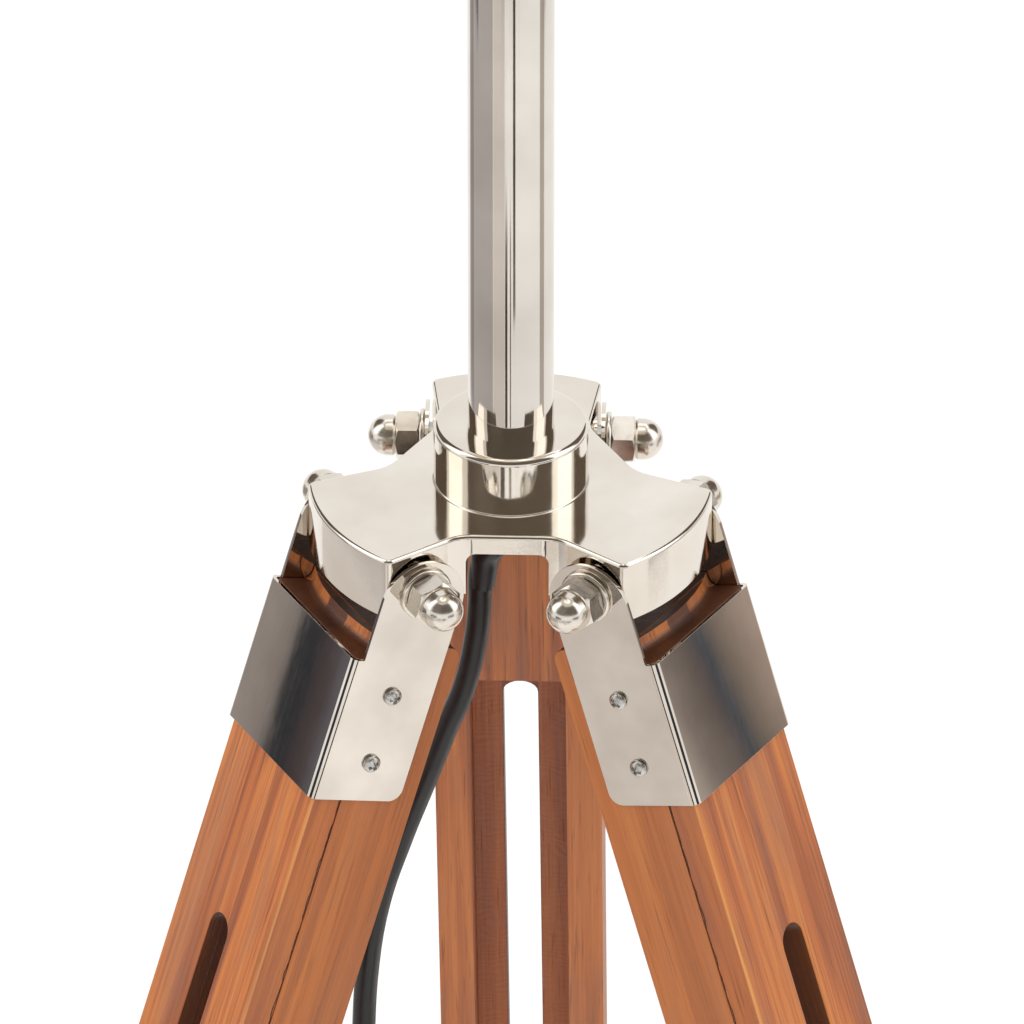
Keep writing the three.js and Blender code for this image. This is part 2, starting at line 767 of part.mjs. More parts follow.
function cordTube(points, steps) {
  const section = new THREE.Shape();
  section.absarc(0, 0, cordDiameter / 2, 0, 2 * Math.PI, false);
  const stops = points.map(([x, y, z]) => new THREE.Vector3(x, y, z));
  const extrudePath = new THREE.CatmullRomCurve3(stops, false, 'centripetal');
  return new THREE.ExtrudeGeometry(section, { steps, curveSegments: 4, extrudePath, bevelEnabled: false });
}

const cordRest = cordDiameter / 2;
const coilOuter = coilRadius + (coilTurnsWide * cordDiameter) / 2;
const coilInner = coilRadius - (coilTurnsWide * cordDiameter) / 2;
const coilHeight = coilTurnsHigh * cordDiameter;

// Hand-set route: out of the bush, down between the left and back legs, and along the floor
// until it meets the coil.
const cordStart = bushBottom - restGap;
const cordRoute = [
  [cordOffset, 0, cordStart],
  [cordOffset - 0.3, 0.1, cordStart - 6],
  [-7.4, 1.5, 815],
  [-10, 3, 787],
  [-13.8, 5.2, 766],
  [-19, 8.2, 750],
  [-25.5, 12, 729],
  [-33, 16.3, 705],
  [-40, 20.4, 679],
  [-43.6, 22.4, 655],
  [-45.2, 23.4, 623],
  [-45.6, 23.8, 560],
  [-45.8, 24.2, 400],
  [-45.8, 24.2, 200],
  [-45.8, 24.2, 80],
  [-46.6, 24.6, 52],
  [-51.8, 27.6, 26],
  [-63.2, 33.6, 9.5],
  [-80, 39.6, cordRest],
  [-100, 41.5, cordRest],
  [-120, 40.2, cordRest],
  [-140, 39.6, cordRest],
  [-157, 41.4, cordRest],
  [-171.7, 46.1, cordRest],
];

function cordCoil() {
  return turnedRing([
    [coilInner, 0],
    [coilOuter, 0],
    [coilOuter, coilHeight],
    [coilInner, coilHeight],
  ], 36).translate(coilCentre.x, coilCentre.y, 0);
}

const tailRoute = [
  [-159.3, 140.8, cordRest],
  [-142, 143.6, cordRest],
  [-124, 149.8, cordRest],
  [-108, 160.4, cordRest],
];

// A two-pin plug lying flat, its cord end at the origin and its pins along +x.
function plug() {
  const body = new THREE.Shape();
  body.moveTo(0, -5);
  body.lineTo(14, -8);
  body.quadraticCurveTo(20, -17.5, 34, -17.5);
  body.lineTo(36, -17.5);
  body.lineTo(36, 17.5);
  body.lineTo(34, 17.5);
  body.quadraticCurveTo(20, 17.5, 14, 8);
  body.lineTo(0, 5);
  const shell = prism(body, 0, 14, 5);
  const pins = [-9.5, 9.5].map((y) => rodX(2, 34, 55, 10).translate(0, y, 7));
  return geometryOf(join(shell, ...pins));
}

function addCord(lamp) {
  const lead = rodZ(cordDiameter / 2, bushBottom, poleTop - 2, 10).translate(cordOffset, 0, 0);
  addMesh(lamp, 'inner_lead', lead, blackPvc);
  addMesh(lamp, 'mains_cord', cordTube(cordRoute, 60), blackPvc);
  addMesh(lamp, 'cord_coil', cordCoil(), blackPvc);
  addMesh(lamp, 'plug_lead', cordTube(tailRoute, 6), blackPvc);
  const heading = Math.atan2(12, 16);
  const place = plug().rotateZ(heading).translate(
    tailRoute[3][0] + restGap * Math.cos(heading),
    tailRoute[3][1] + restGap * Math.sin(heading),
    0,
  );
  addMesh(lamp, 'plug', place, blackPlastic);
}

// ---- Assembly ----

const lamp = new THREE.Group();
const hub = new THREE.Group();
hub.position.z = hubTop;
lamp.add(hub);
addMesh(hub, 'hub_casting', hubCasting(), nickel);
addMesh(hub, 'pole_tube', poleTube(), nickel);
addMesh(hub, 'pole_ring_nut', poleRingNut(), zincSteel);
addMesh(hub, 'cord_bush', cordBush(), blackPlastic);
for (const [side, angle] of Object.entries(armAngles)) addLeg(lamp, side, angle);
addHead(lamp);
addCord(lamp);

// The origin is the middle of the stand's floor area: the back foot reaches further than the
// shade does at the front.
const bootFront = lowerFront + restGap + bootWall;
const bootReach = pivotRadius + bootFront / Math.cos(legTilt)
  + Math.tan(legTilt) * pivotHeight;
const frontReach = Math.max(shadeBottomDiameter / 2, bootReach * Math.cos(gapHalfAngle));
lamp.position.y = -(bootReach - frontReach) / 2;

export default lamp;
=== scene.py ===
import json
import math

import bmesh
import bpy
from mathutils import Matrix, Vector

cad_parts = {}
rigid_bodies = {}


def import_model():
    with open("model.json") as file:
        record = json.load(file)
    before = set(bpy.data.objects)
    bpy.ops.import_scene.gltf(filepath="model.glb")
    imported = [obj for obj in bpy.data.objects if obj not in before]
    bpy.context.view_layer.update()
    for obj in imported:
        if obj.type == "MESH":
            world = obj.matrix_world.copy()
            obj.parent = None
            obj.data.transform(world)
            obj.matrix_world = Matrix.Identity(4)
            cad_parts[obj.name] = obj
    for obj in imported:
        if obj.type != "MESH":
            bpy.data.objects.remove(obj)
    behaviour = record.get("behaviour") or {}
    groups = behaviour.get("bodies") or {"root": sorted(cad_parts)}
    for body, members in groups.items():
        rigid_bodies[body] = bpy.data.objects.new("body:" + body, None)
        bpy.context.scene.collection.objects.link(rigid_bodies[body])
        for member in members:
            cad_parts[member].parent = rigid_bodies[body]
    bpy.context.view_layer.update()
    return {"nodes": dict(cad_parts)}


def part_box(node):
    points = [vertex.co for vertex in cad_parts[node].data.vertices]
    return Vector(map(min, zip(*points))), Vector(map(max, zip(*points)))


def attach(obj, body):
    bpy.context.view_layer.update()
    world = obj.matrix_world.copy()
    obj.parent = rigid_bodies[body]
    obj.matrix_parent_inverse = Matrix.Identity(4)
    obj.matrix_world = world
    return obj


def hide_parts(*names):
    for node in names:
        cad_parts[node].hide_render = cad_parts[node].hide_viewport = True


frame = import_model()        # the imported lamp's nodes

mm = 0.001
sides = {"back": 90, "left": 210, "right": 330}  # where each leg points, degrees from +X

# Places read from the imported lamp
hubLow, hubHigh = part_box("hub_casting")
poleLow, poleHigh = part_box("pole_tube")
axisX, axisY = ((poleLow + poleHigh) / 2).xy
collarHeight = 18.7 * mm
hubTop = hubHigh.z - collarHeight
hubDepth = hubTop - hubLow.z
poleTop = poleHigh.z
pivot = {"out": 42.3 * mm, "drop": 12.8 * mm, "tilt": math.radians(18.7)}
pivotHeight = hubTop - pivot["drop"]


def onAxis(height):  # a frame on the pole's axis at a height
    return Matrix.Translation((axisX, axisY, height))


def legFrame(side):  # x out from the pivot line, y across, z up along the leg
    turn = Matrix.Rotation(math.radians(sides[side]), 4, "Z")
    lean = Matrix.Rotation(-pivot["tilt"], 4, "Y")
    return onAxis(0) @ turn @ Matrix.Translation((pivot["out"], 0, pivotHeight)) @ lean


# Camera
print("camera")
view = {"elevation": 32.0, "side": 1.85, "distance": 4.0, "lens": 483.0, "aimDrop": 12.4 * mm,
        "aimRight": 0.3 * mm}
aim = Vector((axisX + view["aimRight"], axisY, hubTop - view["aimDrop"]))
tip, swing = math.radians(view["elevation"]), math.radians(view["side"])
away = Vector((math.sin(swing) * math.cos(tip), -math.cos(swing) * math.cos(tip), math.sin(tip)))
camera = bpy.data.objects.new("camera", bpy.data.cameras.new("camera"))
camera.data.lens = view["lens"]
camera.data.sensor_width = 36
camera.data.clip_end = 50
camera.location = aim + away * view["distance"]
camera.rotation_euler = (-away).to_track_quat("-Z", "Y").to_euler()
bpy.context.scene.collection.objects.link(camera)
bpy.context.scene.camera = camera


# Materials
print("materials")


def linear(hexColour):  # sRGB hex to the linear values a shader takes
    parts = [int(hexColour[i:i + 2], 16) / 255 for i in (1, 3, 5)]
    return tuple(c / 12.92 if c <= 0.04045 else ((c + 0.055) / 1.055) ** 2.4 for c in parts) + (1.0,)


def perMetre(size):  # a pattern's scale from the real size of its features in millimetres
    return 1000 / size


def mainOutput(value):  # a node stands for its main output; anything else is left alone
    if isinstance(value, bpy.types.Node):
        return value.outputs[2 if value.bl_idname == "ShaderNodeMix" else 0]
    return value


def addNode(tree, kind, inputs=None, stops=None, **settings):
    made = tree.nodes.new(f"ShaderNode{kind}")
    for name, value in settings.items():
        setattr(made, name, value)
    for place, (position, colour) in enumerate(stops or []):
        ramp = made.color_ramp.elements
        stop = ramp[place] if place < 2 else ramp.new(position)
        stop.position, stop.color = position, linear(colour)
    for name, value in (inputs or {}).items():
        value = mainOutput(value)
        if isinstance(value, bpy.types.NodeSocket):
            tree.links.new(value, made.inputs[name])
        else:
            made.inputs[name].default_value = value
    return made


def newFinish(name, **constants):
    finish = bpy.data.materials.new(name)
    finish.use_nodes = True
    shader = finish.node_tree.nodes["Principled BSDF"]
    for socket, value in constants.items():
        shader.inputs[socket.replace("_", " ")].default_value = value
    return finish, finish.node_tree, shader


def finished(finish, colour, gloss, bump):  # the last nodes go into the shader
    tree = finish.node_tree
    for value, socket in ((colour, "Base Color"), (gloss, "Roughness"), (bump, "Normal")):
        if value:
            tree.links.new(mainOutput(value), tree.nodes["Principled BSDF"].inputs[socket])
    return finish


def platedMetal(name, look):
    finish, tree, _ = newFinish(name, Metallic=1.0)
    place = addNode(tree, "TexCoord").outputs["Object"]
    cloud = addNode(tree, "TexNoise", {
        "Vector": place, "Scale": perMetre(look["cloudSize"]), "Detail": 3.0})
    drawn = addNode(tree, "Mapping", {"Vector": place, "Scale": look["drawing"]})
    hairline = addNode(tree, "TexNoise", {
        "Vector": drawn, "Scale": perMetre(look["hairline"]), "Detail": 4.0, "Roughness": 0.65})
    wave = addNode(tree, "TexNoise", {"Vector": place, "Scale": perMetre(look["waveSize"]), "Detail": 1.0})
    tint = addNode(tree, "ValToRGB", {"Fac": cloud}, stops=look["tints"])
    mixed = addNode(tree, "Math", {0: cloud, 1: hairline}, operation="MULTIPLY")
    gloss = addNode(tree, "MapRange", {
        "Value": mixed, "From Min": 0.12, "From Max": 0.4,
        "To Min": look["roughness"][0], "To Max": look["roughness"][1]})
    ripple = addNode(tree, "Bump", {"Height": wave, "Strength": look["ripple"], "Distance": 1 * mm})
    scratch = addNode(tree, "Bump", {
        "Height": hairline, "Strength": look["scratch"], "Distance": 0.1 * mm,
        "Normal": ripple})
    return finished(finish, tint, gloss, scratch)


# Nickel plate, buffed by hand after casting: a warm white mirror whose reflections run in slow waves
buffedNickel = platedMetal("buffed_nickel_plate", {
    "tints": [(0.3, "#DDD4C8"), (0.7, "#EBE4DA")], "cloudSize": 30, "drawing": (1, 1, 1),
    "hairline": 0.9, "waveSize": 16, "roughness": (0.05, 0.13), "ripple": 0.05, "scratch": 0.02})
# The same plate on folded sheet: a shade greyer, with rolling lines left along the fold
foldedNickel = platedMetal("folded_nickel_plate", {
    "tints": [(0.3, "#D2C9BE"), (0.7, "#E6DED3")], "cloudSize": 22, "drawing": (1, 1, 0.12),
    "hairline": 1.2, "waveSize": 30, "roughness": (0.02, 0.05), "ripple": 0.01, "scratch": 0.003})
# Nickel on pressed nuts, tumbled in a barrel: the mirror is softened all over
tumbledNickel = platedMetal("tumbled_nickel_plate", {
    "tints": [(0.3, "#D8D0C4"), (0.7, "#E9E2D8")], "cloudSize": 6, "drawing": (1, 1, 1),
    "hairline": 0.6, "waveSize": 9, "roughness": (0.15, 0.26), "ripple": 0.01, "scratch": 0.005})
# Nickel on drawn tube: fine die lines along the pole soften the mirror to a grey satin
drawnNickel = platedMetal("drawn_nickel_tube", {
    "tints": [(0.3, "#CEC8C0"), (0.7, "#E5DFD8")], "cloudSize": 40, "drawing": (1, 1, 0.02),
    "hairline": 1.4, "waveSize": 60, "roughness": (0.03, 0.1), "ripple": 0.02, "scratch": 0.012})
# Bright zinc on steel, barrel plated: cool, even and a little cloudy
barrelZinc = platedMetal("barrel_zinc_plate", {
    "tints": [(0.3, "#C2C1BD"), (0.7, "#DBD9D4")], "cloudSize": 5, "drawing": (1, 1, 1),
    "hairline": 0.6, "waveSize": 8, "roughness": (0.28, 0.44), "ripple": 0.01, "scratch": 0.03})


# Where the timber's faces and joints lie from the middle of a leg
timber = {"side": 24.9, "edgeFrom": 24.1, "edgeTo": 24.5, "frontFrom": 13.9, "frontTo": 14.3, "slotFront": 14.9,
          "sawnFront": 5.6, "sawnBack": -19.3, "joint": 4.3, "wander": 2.4, "glue": 0.22}


def oiledTeak(name, look):
    finish, tree, _ = newFinish(name, IOR=1.5)
    place = addNode(tree, "TexCoord").outputs["Object"]
    own = addNode(tree, "ObjectInfo").outputs["Random"]
    moved = addNode(tree, "VectorMath", {0: place, 1: own}, operation="ADD")
    along = addNode(tree, "Mapping", {"Vector": moved, "Scale": (1, 1, 0.03)})
    thin = addNode(tree, "Mapping", {"Vector": moved, "Scale": (1, 1, 0.012)})
    growth = addNode(tree, "TexNoise", {
        "Vector": along, "Scale": perMetre(look["growth"]), "Detail": 2.0, "Distortion": 0.4})
    lines = addNode(tree, "Math", {0: growth, 1: look["rings"]}, operation="MULTIPLY")
    rings = addNode(tree, "Math", {0: lines}, operation="SINE")
    fibre = addNode(tree, "TexNoise", {
        "Vector": thin, "Scale": perMetre(look["fibre"]), "Detail": 5.0, "Roughness": 0.6})
    ringPart = addNode(tree, "Math", {0: rings, 1: 0.11, 2: 0.2}, operation="MULTIPLY_ADD")
    tone = addNode(tree, "Math", {0: fibre, 1: 0.6, 2: ringPart}, operation="MULTIPLY_ADD")
    colour = addNode(tree, "ValToRGB", {"Fac": tone}, stops=look["tones"])
    vessels = addNode(tree, "TexNoise", {"Vector": along, "Scale": perMetre(look["vessel"]), "Detail": 2.0})
    pore = addNode(tree, "MapRange", {"Value": vessels, "From Min": 0.6, "From Max": 0.72})
    # Broad purple-grey clouds drift along the board, and a knot turns up now and then
    drift = addNode(tree, "Mapping", {"Vector": moved, "Scale": (1, 1, 0.16)})
    clouds = addNode(tree, "TexNoise", {
        "Vector": drift, "Scale": perMetre(13), "Detail": 4.0, "Distortion": 0.6})
    cloud = addNode(tree, "MapRange", {"Value": clouds, "From Min": 0.5, "From Max": 0.72, "To Max": 0.5})
    lengthened = addNode(tree, "Mapping", {"Vector": moved, "Scale": (1, 1, 0.55)})
    knots = addNode(tree, "TexVoronoi", {"Vector": lengthened, "Scale": perMetre(62)})
    knotCore = addNode(tree, "MapRange", {
        "Value": knots.outputs["Distance"], "From Min": 0.04, "From Max": 0.13, "To Min": 0.8, "To Max": 0.0})
    split = addNode(tree, "SeparateXYZ", {0: place})
    across = addNode(tree, "Math", {0: split.outputs[1]}, operation="ABSOLUTE")
    # A pale line painted along the long front edges: a painted highlight on the chamfers, with the oil also worn off
    # there by handling
    nearEdge = addNode(tree, "MapRange", {
        "Value": across, "From Min": timber["edgeFrom"] * mm, "From Max": timber["edgeTo"] * mm})
    nearFace = addNode(tree, "MapRange", {
        "Value": split.outputs[0], "From Min": timber["frontFrom"] * mm, "From Max": timber["frontTo"] * mm})
    # A ragged dark glue line wanders where board and rail meet
    wander = addNode(tree, "TexNoise", {
        "Vector": addNode(tree, "Mapping", {"Vector": moved, "Scale": (0, 0, 1)}),
        "Scale": perMetre(9), "Detail": 3.0})
    crackPlace = addNode(tree, "Math", {0: wander, 1: timber["wander"] * mm, 2: timber["joint"] * mm},
                         operation="MULTIPLY_ADD")
    crackGap = addNode(tree, "Math", {0: split.outputs[0], 1: crackPlace}, operation="SUBTRACT")
    crackReach = addNode(tree, "Math", {0: crackGap}, operation="ABSOLUTE")
    within = {}
    for name, value, test, limit in (
            ("sides", across, "GREATER_THAN", timber["side"]),
            ("glue", crackReach, "LESS_THAN", timber["glue"]),
            ("slot", across, "LESS_THAN", look["slotHalf"]),
            ("front", split.outputs[0], "LESS_THAN", timber["slotFront"]),
            ("sawn", across, "LESS_THAN", look["sawnHalf"]),
            ("low", split.outputs[0], "LESS_THAN", timber["sawnFront"]),
            ("high", split.outputs[0], "GREATER_THAN", timber["sawnBack"])):
        within[name] = addNode(tree, "Math", {0: value, 1: limit * mm}, operation=test)
    # The sides are painted darker as shade, the slot walls darker still as painted shade in the recess,
    # and the channel was left as it came off the saw: cross ridges and a duller brown
    amount = {"pore": (pore, 0.55), "edge": (nearEdge, nearFace, fibre, 0.9), "side": (within["sides"], 0.45),
              "glue": (within["glue"], within["sides"]), "slot": (within["slot"], within["front"], 0.8),
              "sawn": (within["sawn"], within["low"], within["high"])}
    for name, (first, *others) in amount.items():
        for other in others:
            first = addNode(tree, "Math", {0: first, 1: other}, operation="MULTIPLY")
        amount[name] = first
    wobble = addNode(tree, "TexNoise", {"Vector": moved, "Scale": perMetre(16), "Detail": 3.0})
    pitch = addNode(tree, "Math", {0: split.outputs[2], 1: perMetre(look["sawPitch"]) * 2 * math.pi},
                    operation="MULTIPLY")
    bent = addNode(tree, "Math", {0: wobble, 1: 42.0, 2: pitch}, operation="MULTIPLY_ADD")
    ridges = addNode(tree, "Math", {0: bent}, operation="SINE")
    ridgeCut = addNode(tree, "Math", {0: ridges, 1: amount["sawn"]}, operation="MULTIPLY")
    patchy = addNode(tree, "TexNoise", {"Vector": moved, "Scale": perMetre(7), "Detail": 3.0})
    scored = addNode(tree, "Math", {0: ridgeCut, 1: patchy}, operation="MULTIPLY")
    dulled = addNode(tree, "Math", {0: scored, 1: 0.22}, operation="MULTIPLY")
    dull = addNode(tree, "Math", {0: amount["sawn"], 1: 0.4, 2: dulled}, operation="MULTIPLY_ADD", use_clamp=True)
    # End grain drinks the oil and stays dark; darkened further here as painted shade on the tops under the caps
    facing = addNode(tree, "SeparateXYZ", {0: addNode(tree, "TexCoord").outputs["Normal"]})
    cutAcross = addNode(tree, "MapRange", {
        "Value": facing.outputs[2], "From Min": 0.2, "From Max": 0.7, "To Max": 0.92})
    for name, layer in (("pore", amount["pore"]), ("cloud", cloud), ("knot", knotCore), ("side", amount["side"]),
                        ("edge", amount["edge"]), ("glue", amount["glue"]), ("slot", amount["slot"]),
                        ("sawn", dull), ("endGrainAndShade", cutAcross)):
        colour = addNode(tree, "Mix", {0: layer, 6: colour, 7: linear(look[name])}, data_type="RGBA")
    gloss = addNode(tree, "MapRange", {
        "Value": fibre, "To Min": look["roughness"][0], "To Max": look["roughness"][1]})
    relief = addNode(tree, "Math", {0: pore, 1: -0.8, 2: fibre}, operation="MULTIPLY_ADD")
    grainBump = addNode(tree, "Bump", {"Height": relief, "Strength": 0.45, "Distance": 0.25 * mm})
    sawBump = addNode(tree, "Bump", {
        "Height": ridgeCut, "Strength": 0.15, "Distance": 0.3 * mm, "Normal": grainBump})
    return finished(finish, colour, gloss, sawBump)


# Teak, planed and oiled: orange brown with soft purple-brown bands, open pores and a low satin shine
planedTeak = oiledTeak("planed_oiled_teak", {
    "tones": [(0.24, "#7C4024"), (0.5, "#B5622B"), (0.76, "#D6843A")], "pore": "#5A2C14",
    # the edge colour is a painted highlight on the chamfers, with some wear
    # the side colour is painted shade on the board's sides
    "edge": "#E2A45E", "glue": "#2C1910", "side": "#8E4C28",
    # the end grain colour is partly painted shade on the tops under the caps
    # the slot colour is painted shade in the slot
    "sawn": "#B0683A", "endGrainAndShade": "#4A2A1B", "slot": "#3A1F13",
    "slotHalf": 5.5, "cloud": "#8C604E", "knot": "#3A2115",
    "growth": 11, "rings": 17.0, "fibre": 0.9, "vessel": 0.8, "sawnHalf": 14.9, "sawPitch": 2.8,
    "roughness": (0.32, 0.55)})
# Second-grade teak for the rails, sawn on the inside: softer in colour, with more grey in it
sawnTeak = oiledTeak("sawn_oiled_teak", {
    "tones": [(0.24, "#7C462C"), (0.5, "#B2642E"), (0.76, "#CA7E40")], "pore": "#522B17",
    # the edge colour is a painted highlight on the chamfers, with some wear
    # the side colour is painted shade on the rails' sides
    "edge": "#C08A58", "glue": "#2C1910", "side": "#AC642F",
    # the end grain colour is partly painted shade on the tops under the caps
    "sawn": "#B0683A", "endGrainAndShade": "#4A2A1B", "slot": "#7C4A30",
    "slotHalf": 0.0, "cloud": "#88604E", "knot": "#3A2115",
    "growth": 10, "rings": 17.0, "fibre": 0.9, "vessel": 0.8, "sawnHalf": 14.9, "sawPitch": 2.8,
    "roughness": (0.38, 0.62)})


def mouldedBlack(name, look):
    finish, tree, _ = newFinish(name, IOR=look["ior"])
    place = addNode(tree, "TexCoord").outputs["Object"]
    grit = addNode(tree, "TexNoise", {"Vector": place, "Scale": perMetre(look["grit"]), "Detail": 3.0})
    smear = addNode(tree, "TexNoise", {"Vector": place, "Scale": perMetre(look["smear"]), "Detail": 3.0})
    tint = addNode(tree, "ValToRGB", {"Fac": smear}, stops=look["tints"])
    gloss = addNode(tree, "MapRange", {
        "Value": smear, "From Min": 0.3, "From Max": 0.7,
        "To Min": look["roughness"][0], "To Max": look["roughness"][1]})
    bump = addNode(tree, "Bump", {"Height": grit, "Strength": look["bump"], "Distance": 0.1 * mm})
    return finished(finish, tint, gloss, bump)


# PVC sheath, extruded: glossy black with a faint drag texture and greasy patches
extrudedPvc = mouldedBlack("extruded_pvc", {
    "tints": [(0.35, "#0C0C0D"), (0.7, "#17181A")], "grit": 0.7, "smear": 12, "bump": 0.25, "ior": 1.5,
    "roughness": (0.3, 0.5)})
# Phenolic plastic, pressed in a polished mould: deep black brown and smooth
pressedPhenolic = mouldedBlack("pressed_phenolic", {
    "tints": [(0.35, "#171413"), (0.7, "#241F1D")], "grit": 0.9, "smear": 9, "bump": 0.08, "ior": 1.6,
    "roughness": (0.2, 0.36)})
# Rubber, moulded with a fine tooth: soft charcoal that hardly shines and greys with dust
mouldedRubber = mouldedBlack("moulded_rubber", {
    "tints": [(0.35, "#1B1B1C"), (0.7, "#323130")], "grit": 0.8, "smear": 14, "bump": 0.5, "ior": 1.52,
    "roughness": (0.62, 0.85)})


def wovenLinen(name, look):
    finish, tree, _ = newFinish(name, Roughness=0.85, Sheen_Weight=0.25, Sheen_Roughness=0.5,
                                Specular_IOR_Level=0.25)
    place = addNode(tree, "TexCoord").outputs["Object"]
    split = addNode(tree, "SeparateXYZ", {0: place})
    around = addNode(tree, "Math", {0: split.outputs[1], 1: split.outputs[0]}, operation="ARCTAN2")
    # The real weave is 0.9 mm: threads are drawn twice as wide, the finest that still shows
    warpCount = round(2 * math.pi * look["radius"] / look["thread"])
    warpTurn = addNode(tree, "Math", {0: around, 1: float(warpCount)}, operation="MULTIPLY")
    weftTurn = addNode(tree, "Math", {
        0: split.outputs[2], 1: perMetre(look["thread"]) * 2 * math.pi}, operation="MULTIPLY")
    warp = addNode(tree, "Math", {0: warpTurn}, operation="SINE")
    weft = addNode(tree, "Math", {0: weftTurn}, operation="SINE")
    weave = addNode(tree, "Math", {0: warp, 1: weft}, operation="MULTIPLY")
    ribbed = addNode(tree, "Math", {0: weft, 1: 0.4, 2: weave}, operation="MULTIPLY_ADD")
    # Slubs: thicker stretches of single threads, along and around
    flat = addNode(tree, "Mapping", {"Vector": place, "Scale": (0.06, 0.06, 1)})
    upright = addNode(tree, "Mapping", {"Vector": place, "Scale": (1, 1, 0.06)})
    slubWeft = addNode(tree, "TexNoise", {"Vector": flat, "Scale": perMetre(2.2), "Detail": 2.0})
    slubWarp = addNode(tree, "TexNoise", {"Vector": upright, "Scale": perMetre(2.2), "Detail": 2.0})
    slub = addNode(tree, "Math", {0: slubWeft, 1: slubWarp}, operation="ADD")
    tone = addNode(tree, "Math", {0: ribbed, 1: 0.12, 2: slub}, operation="MULTIPLY_ADD")
    colour = addNode(tree, "ValToRGB", {"Fac": tone}, stops=look["tones"])
    height = addNode(tree, "Math", {0: slub, 1: 1.5, 2: ribbed}, operation="MULTIPLY_ADD")
    bump = addNode(tree, "Bump", {"Height": height, "Strength": 0.4, "Distance": 0.3 * mm})
    return finished(finish, colour, None, bump)


# Linen, plain woven and backed: oatmeal threads of uneven thickness, matt with a slight bloom
plainLinen = wovenLinen("plain_woven_linen", {
    "tones": [(0.75, "#CFC4AE"), (1.0, "#E6DDCB"), (1.0, "#F0E9DB")], "radius": 175, "thread": 1.8})


def smoothCoat(name, look, **constants):
    finish, tree, _ = newFinish(name, **constants)
    place = addNode(tree, "TexCoord").outputs["Object"]
    orange = addNode(tree, "TexNoise", {"Vector": place, "Scale": perMetre(look["peel"]), "Detail": 2.0})
    tint = addNode(tree, "ValToRGB", {"Fac": orange}, stops=look["tints"])
    gloss = addNode(tree, "MapRange", {
        "Value": orange, "To Min": look["roughness"][0], "To Max": look["roughness"][1]})
    bump = addNode(tree, "Bump", {"Height": orange, "Strength": look["bump"], "Distance": 0.1 * mm})
    return finished(finish, tint, gloss, bump)


# Enamelled wire, dipped and baked: warm white with a slight orange-peel shine
dippedEnamel = smoothCoat("dipped_enamel", {
    "tints": [(0.3, "#DEDBD2"), (0.7, "#ECE9E1")], "peel": 1.5, "roughness": (0.25, 0.42), "bump": 0.15}, IOR=1.5)
# Opal glass, blown: milky white with depth under a smooth shine
blownOpal = smoothCoat("blown_opal_glass", {
    "tints": [(0.3, "#F1EDE2"), (0.7, "#FBF8F0")], "peel": 25, "roughness": (0.12, 0.2), "bump": 0.05},
    IOR=1.52, Subsurface_Weight=0.2, Coat_Weight=0.4)


# Ways of making a piece: sizes in millimetres

def meshObject(name, bm, frameMatrix=None):
    bmesh.ops.recalc_face_normals(bm, faces=bm.faces)
    bmesh.ops.scale(bm, vec=(mm, mm, mm), verts=bm.verts)
    made = bpy.data.objects.new(name, bpy.data.meshes.new(name))
    bm.to_mesh(made.data)
    bm.free()
    bpy.context.scene.collection.objects.link(made)
    if frameMatrix:
        made.matrix_world = frameMatrix
    return made


def arc(x, y, radius, start, end, steps=8):  # points on an arc, angles in degrees
    angles = [math.radians(start + (end - start) * i / steps) for i in range(steps + 1)]
    return [(x + radius * math.cos(a), y + radius * math.sin(a)) for a in angles]


def latheMesh(profile, steps=96, ring=False):  # radius and height pairs turned about z
    bm = bmesh.new()
    rows = []
    for radius, height in profile:
        spots = steps if radius > 1e-6 else 1
        turns = [2 * math.pi * i / steps for i in range(spots)]
        rows.append([bm.verts.new((radius * math.cos(a), radius * math.sin(a), height)) for a in turns])
    for low, high in zip(rows, rows[1:] + (rows[:1] if ring else [])):
        for i in range(steps):
            j = (i + 1) % steps
            corners = [low[i % len(low)], low[j % len(low)], high[j % len(high)], high[i % len(high)]]
            corners = list(dict.fromkeys(corners))
            if len(corners) > 2:
                bm.faces.new(corners)
    return bm


def prismMesh(outline, low, high, plane="xy"):  # an outline run along the axis that its plane leaves out
    order = {"xy": lambda a, b, c: (a, b, c), "xz": lambda a, b, c: (a, c, b)}[plane]
    bm = bmesh.new()
    ends = [[bm.verts.new(order(a, b, c)) for a, b in outline] for c in (low, high)]
    bm.faces.new(ends[0][::-1])
    bm.faces.new(ends[1])
    for i in range(len(outline)):
        j = (i + 1) % len(outline)
        bm.faces.new((ends[0][i], ends[0][j], ends[1][j], ends[1][i]))
    return bm


def rodMesh(axis, radius, low, high, steps=32):
    bm = latheMesh([(0, low), (radius, low), (radius, high), (0, high)], steps)
    turn = {"x": Matrix.Rotation(math.pi / 2, 3, "Y"), "y": Matrix.Rotation(-math.pi / 2, 3, "X"),
            "z": Matrix.Identity(3)}[axis]
    bmesh.ops.rotate(bm, matrix=turn, verts=bm.verts)
    return bm


def applied(piece):  # the piece's modifiers become its mesh
    graph = bpy.context.evaluated_depsgraph_get()
    shaped = bpy.data.meshes.new_from_object(piece.evaluated_get(graph))
    piece.modifiers.clear()
    piece.data = shaped
    return piece


def boolean(piece, tools, operation="DIFFERENCE"):
    for tool in tools:
        cutter = tool if isinstance(tool, bpy.types.Object) else meshObject("tool", tool, piece.matrix_world)
        step = piece.modifiers.new("cut", "BOOLEAN")
        step.operation, step.solver, step.object = operation, "EXACT", cutter
        bpy.context.view_layer.update()
        applied(piece)
        bpy.data.objects.remove(cutter)
    return piece


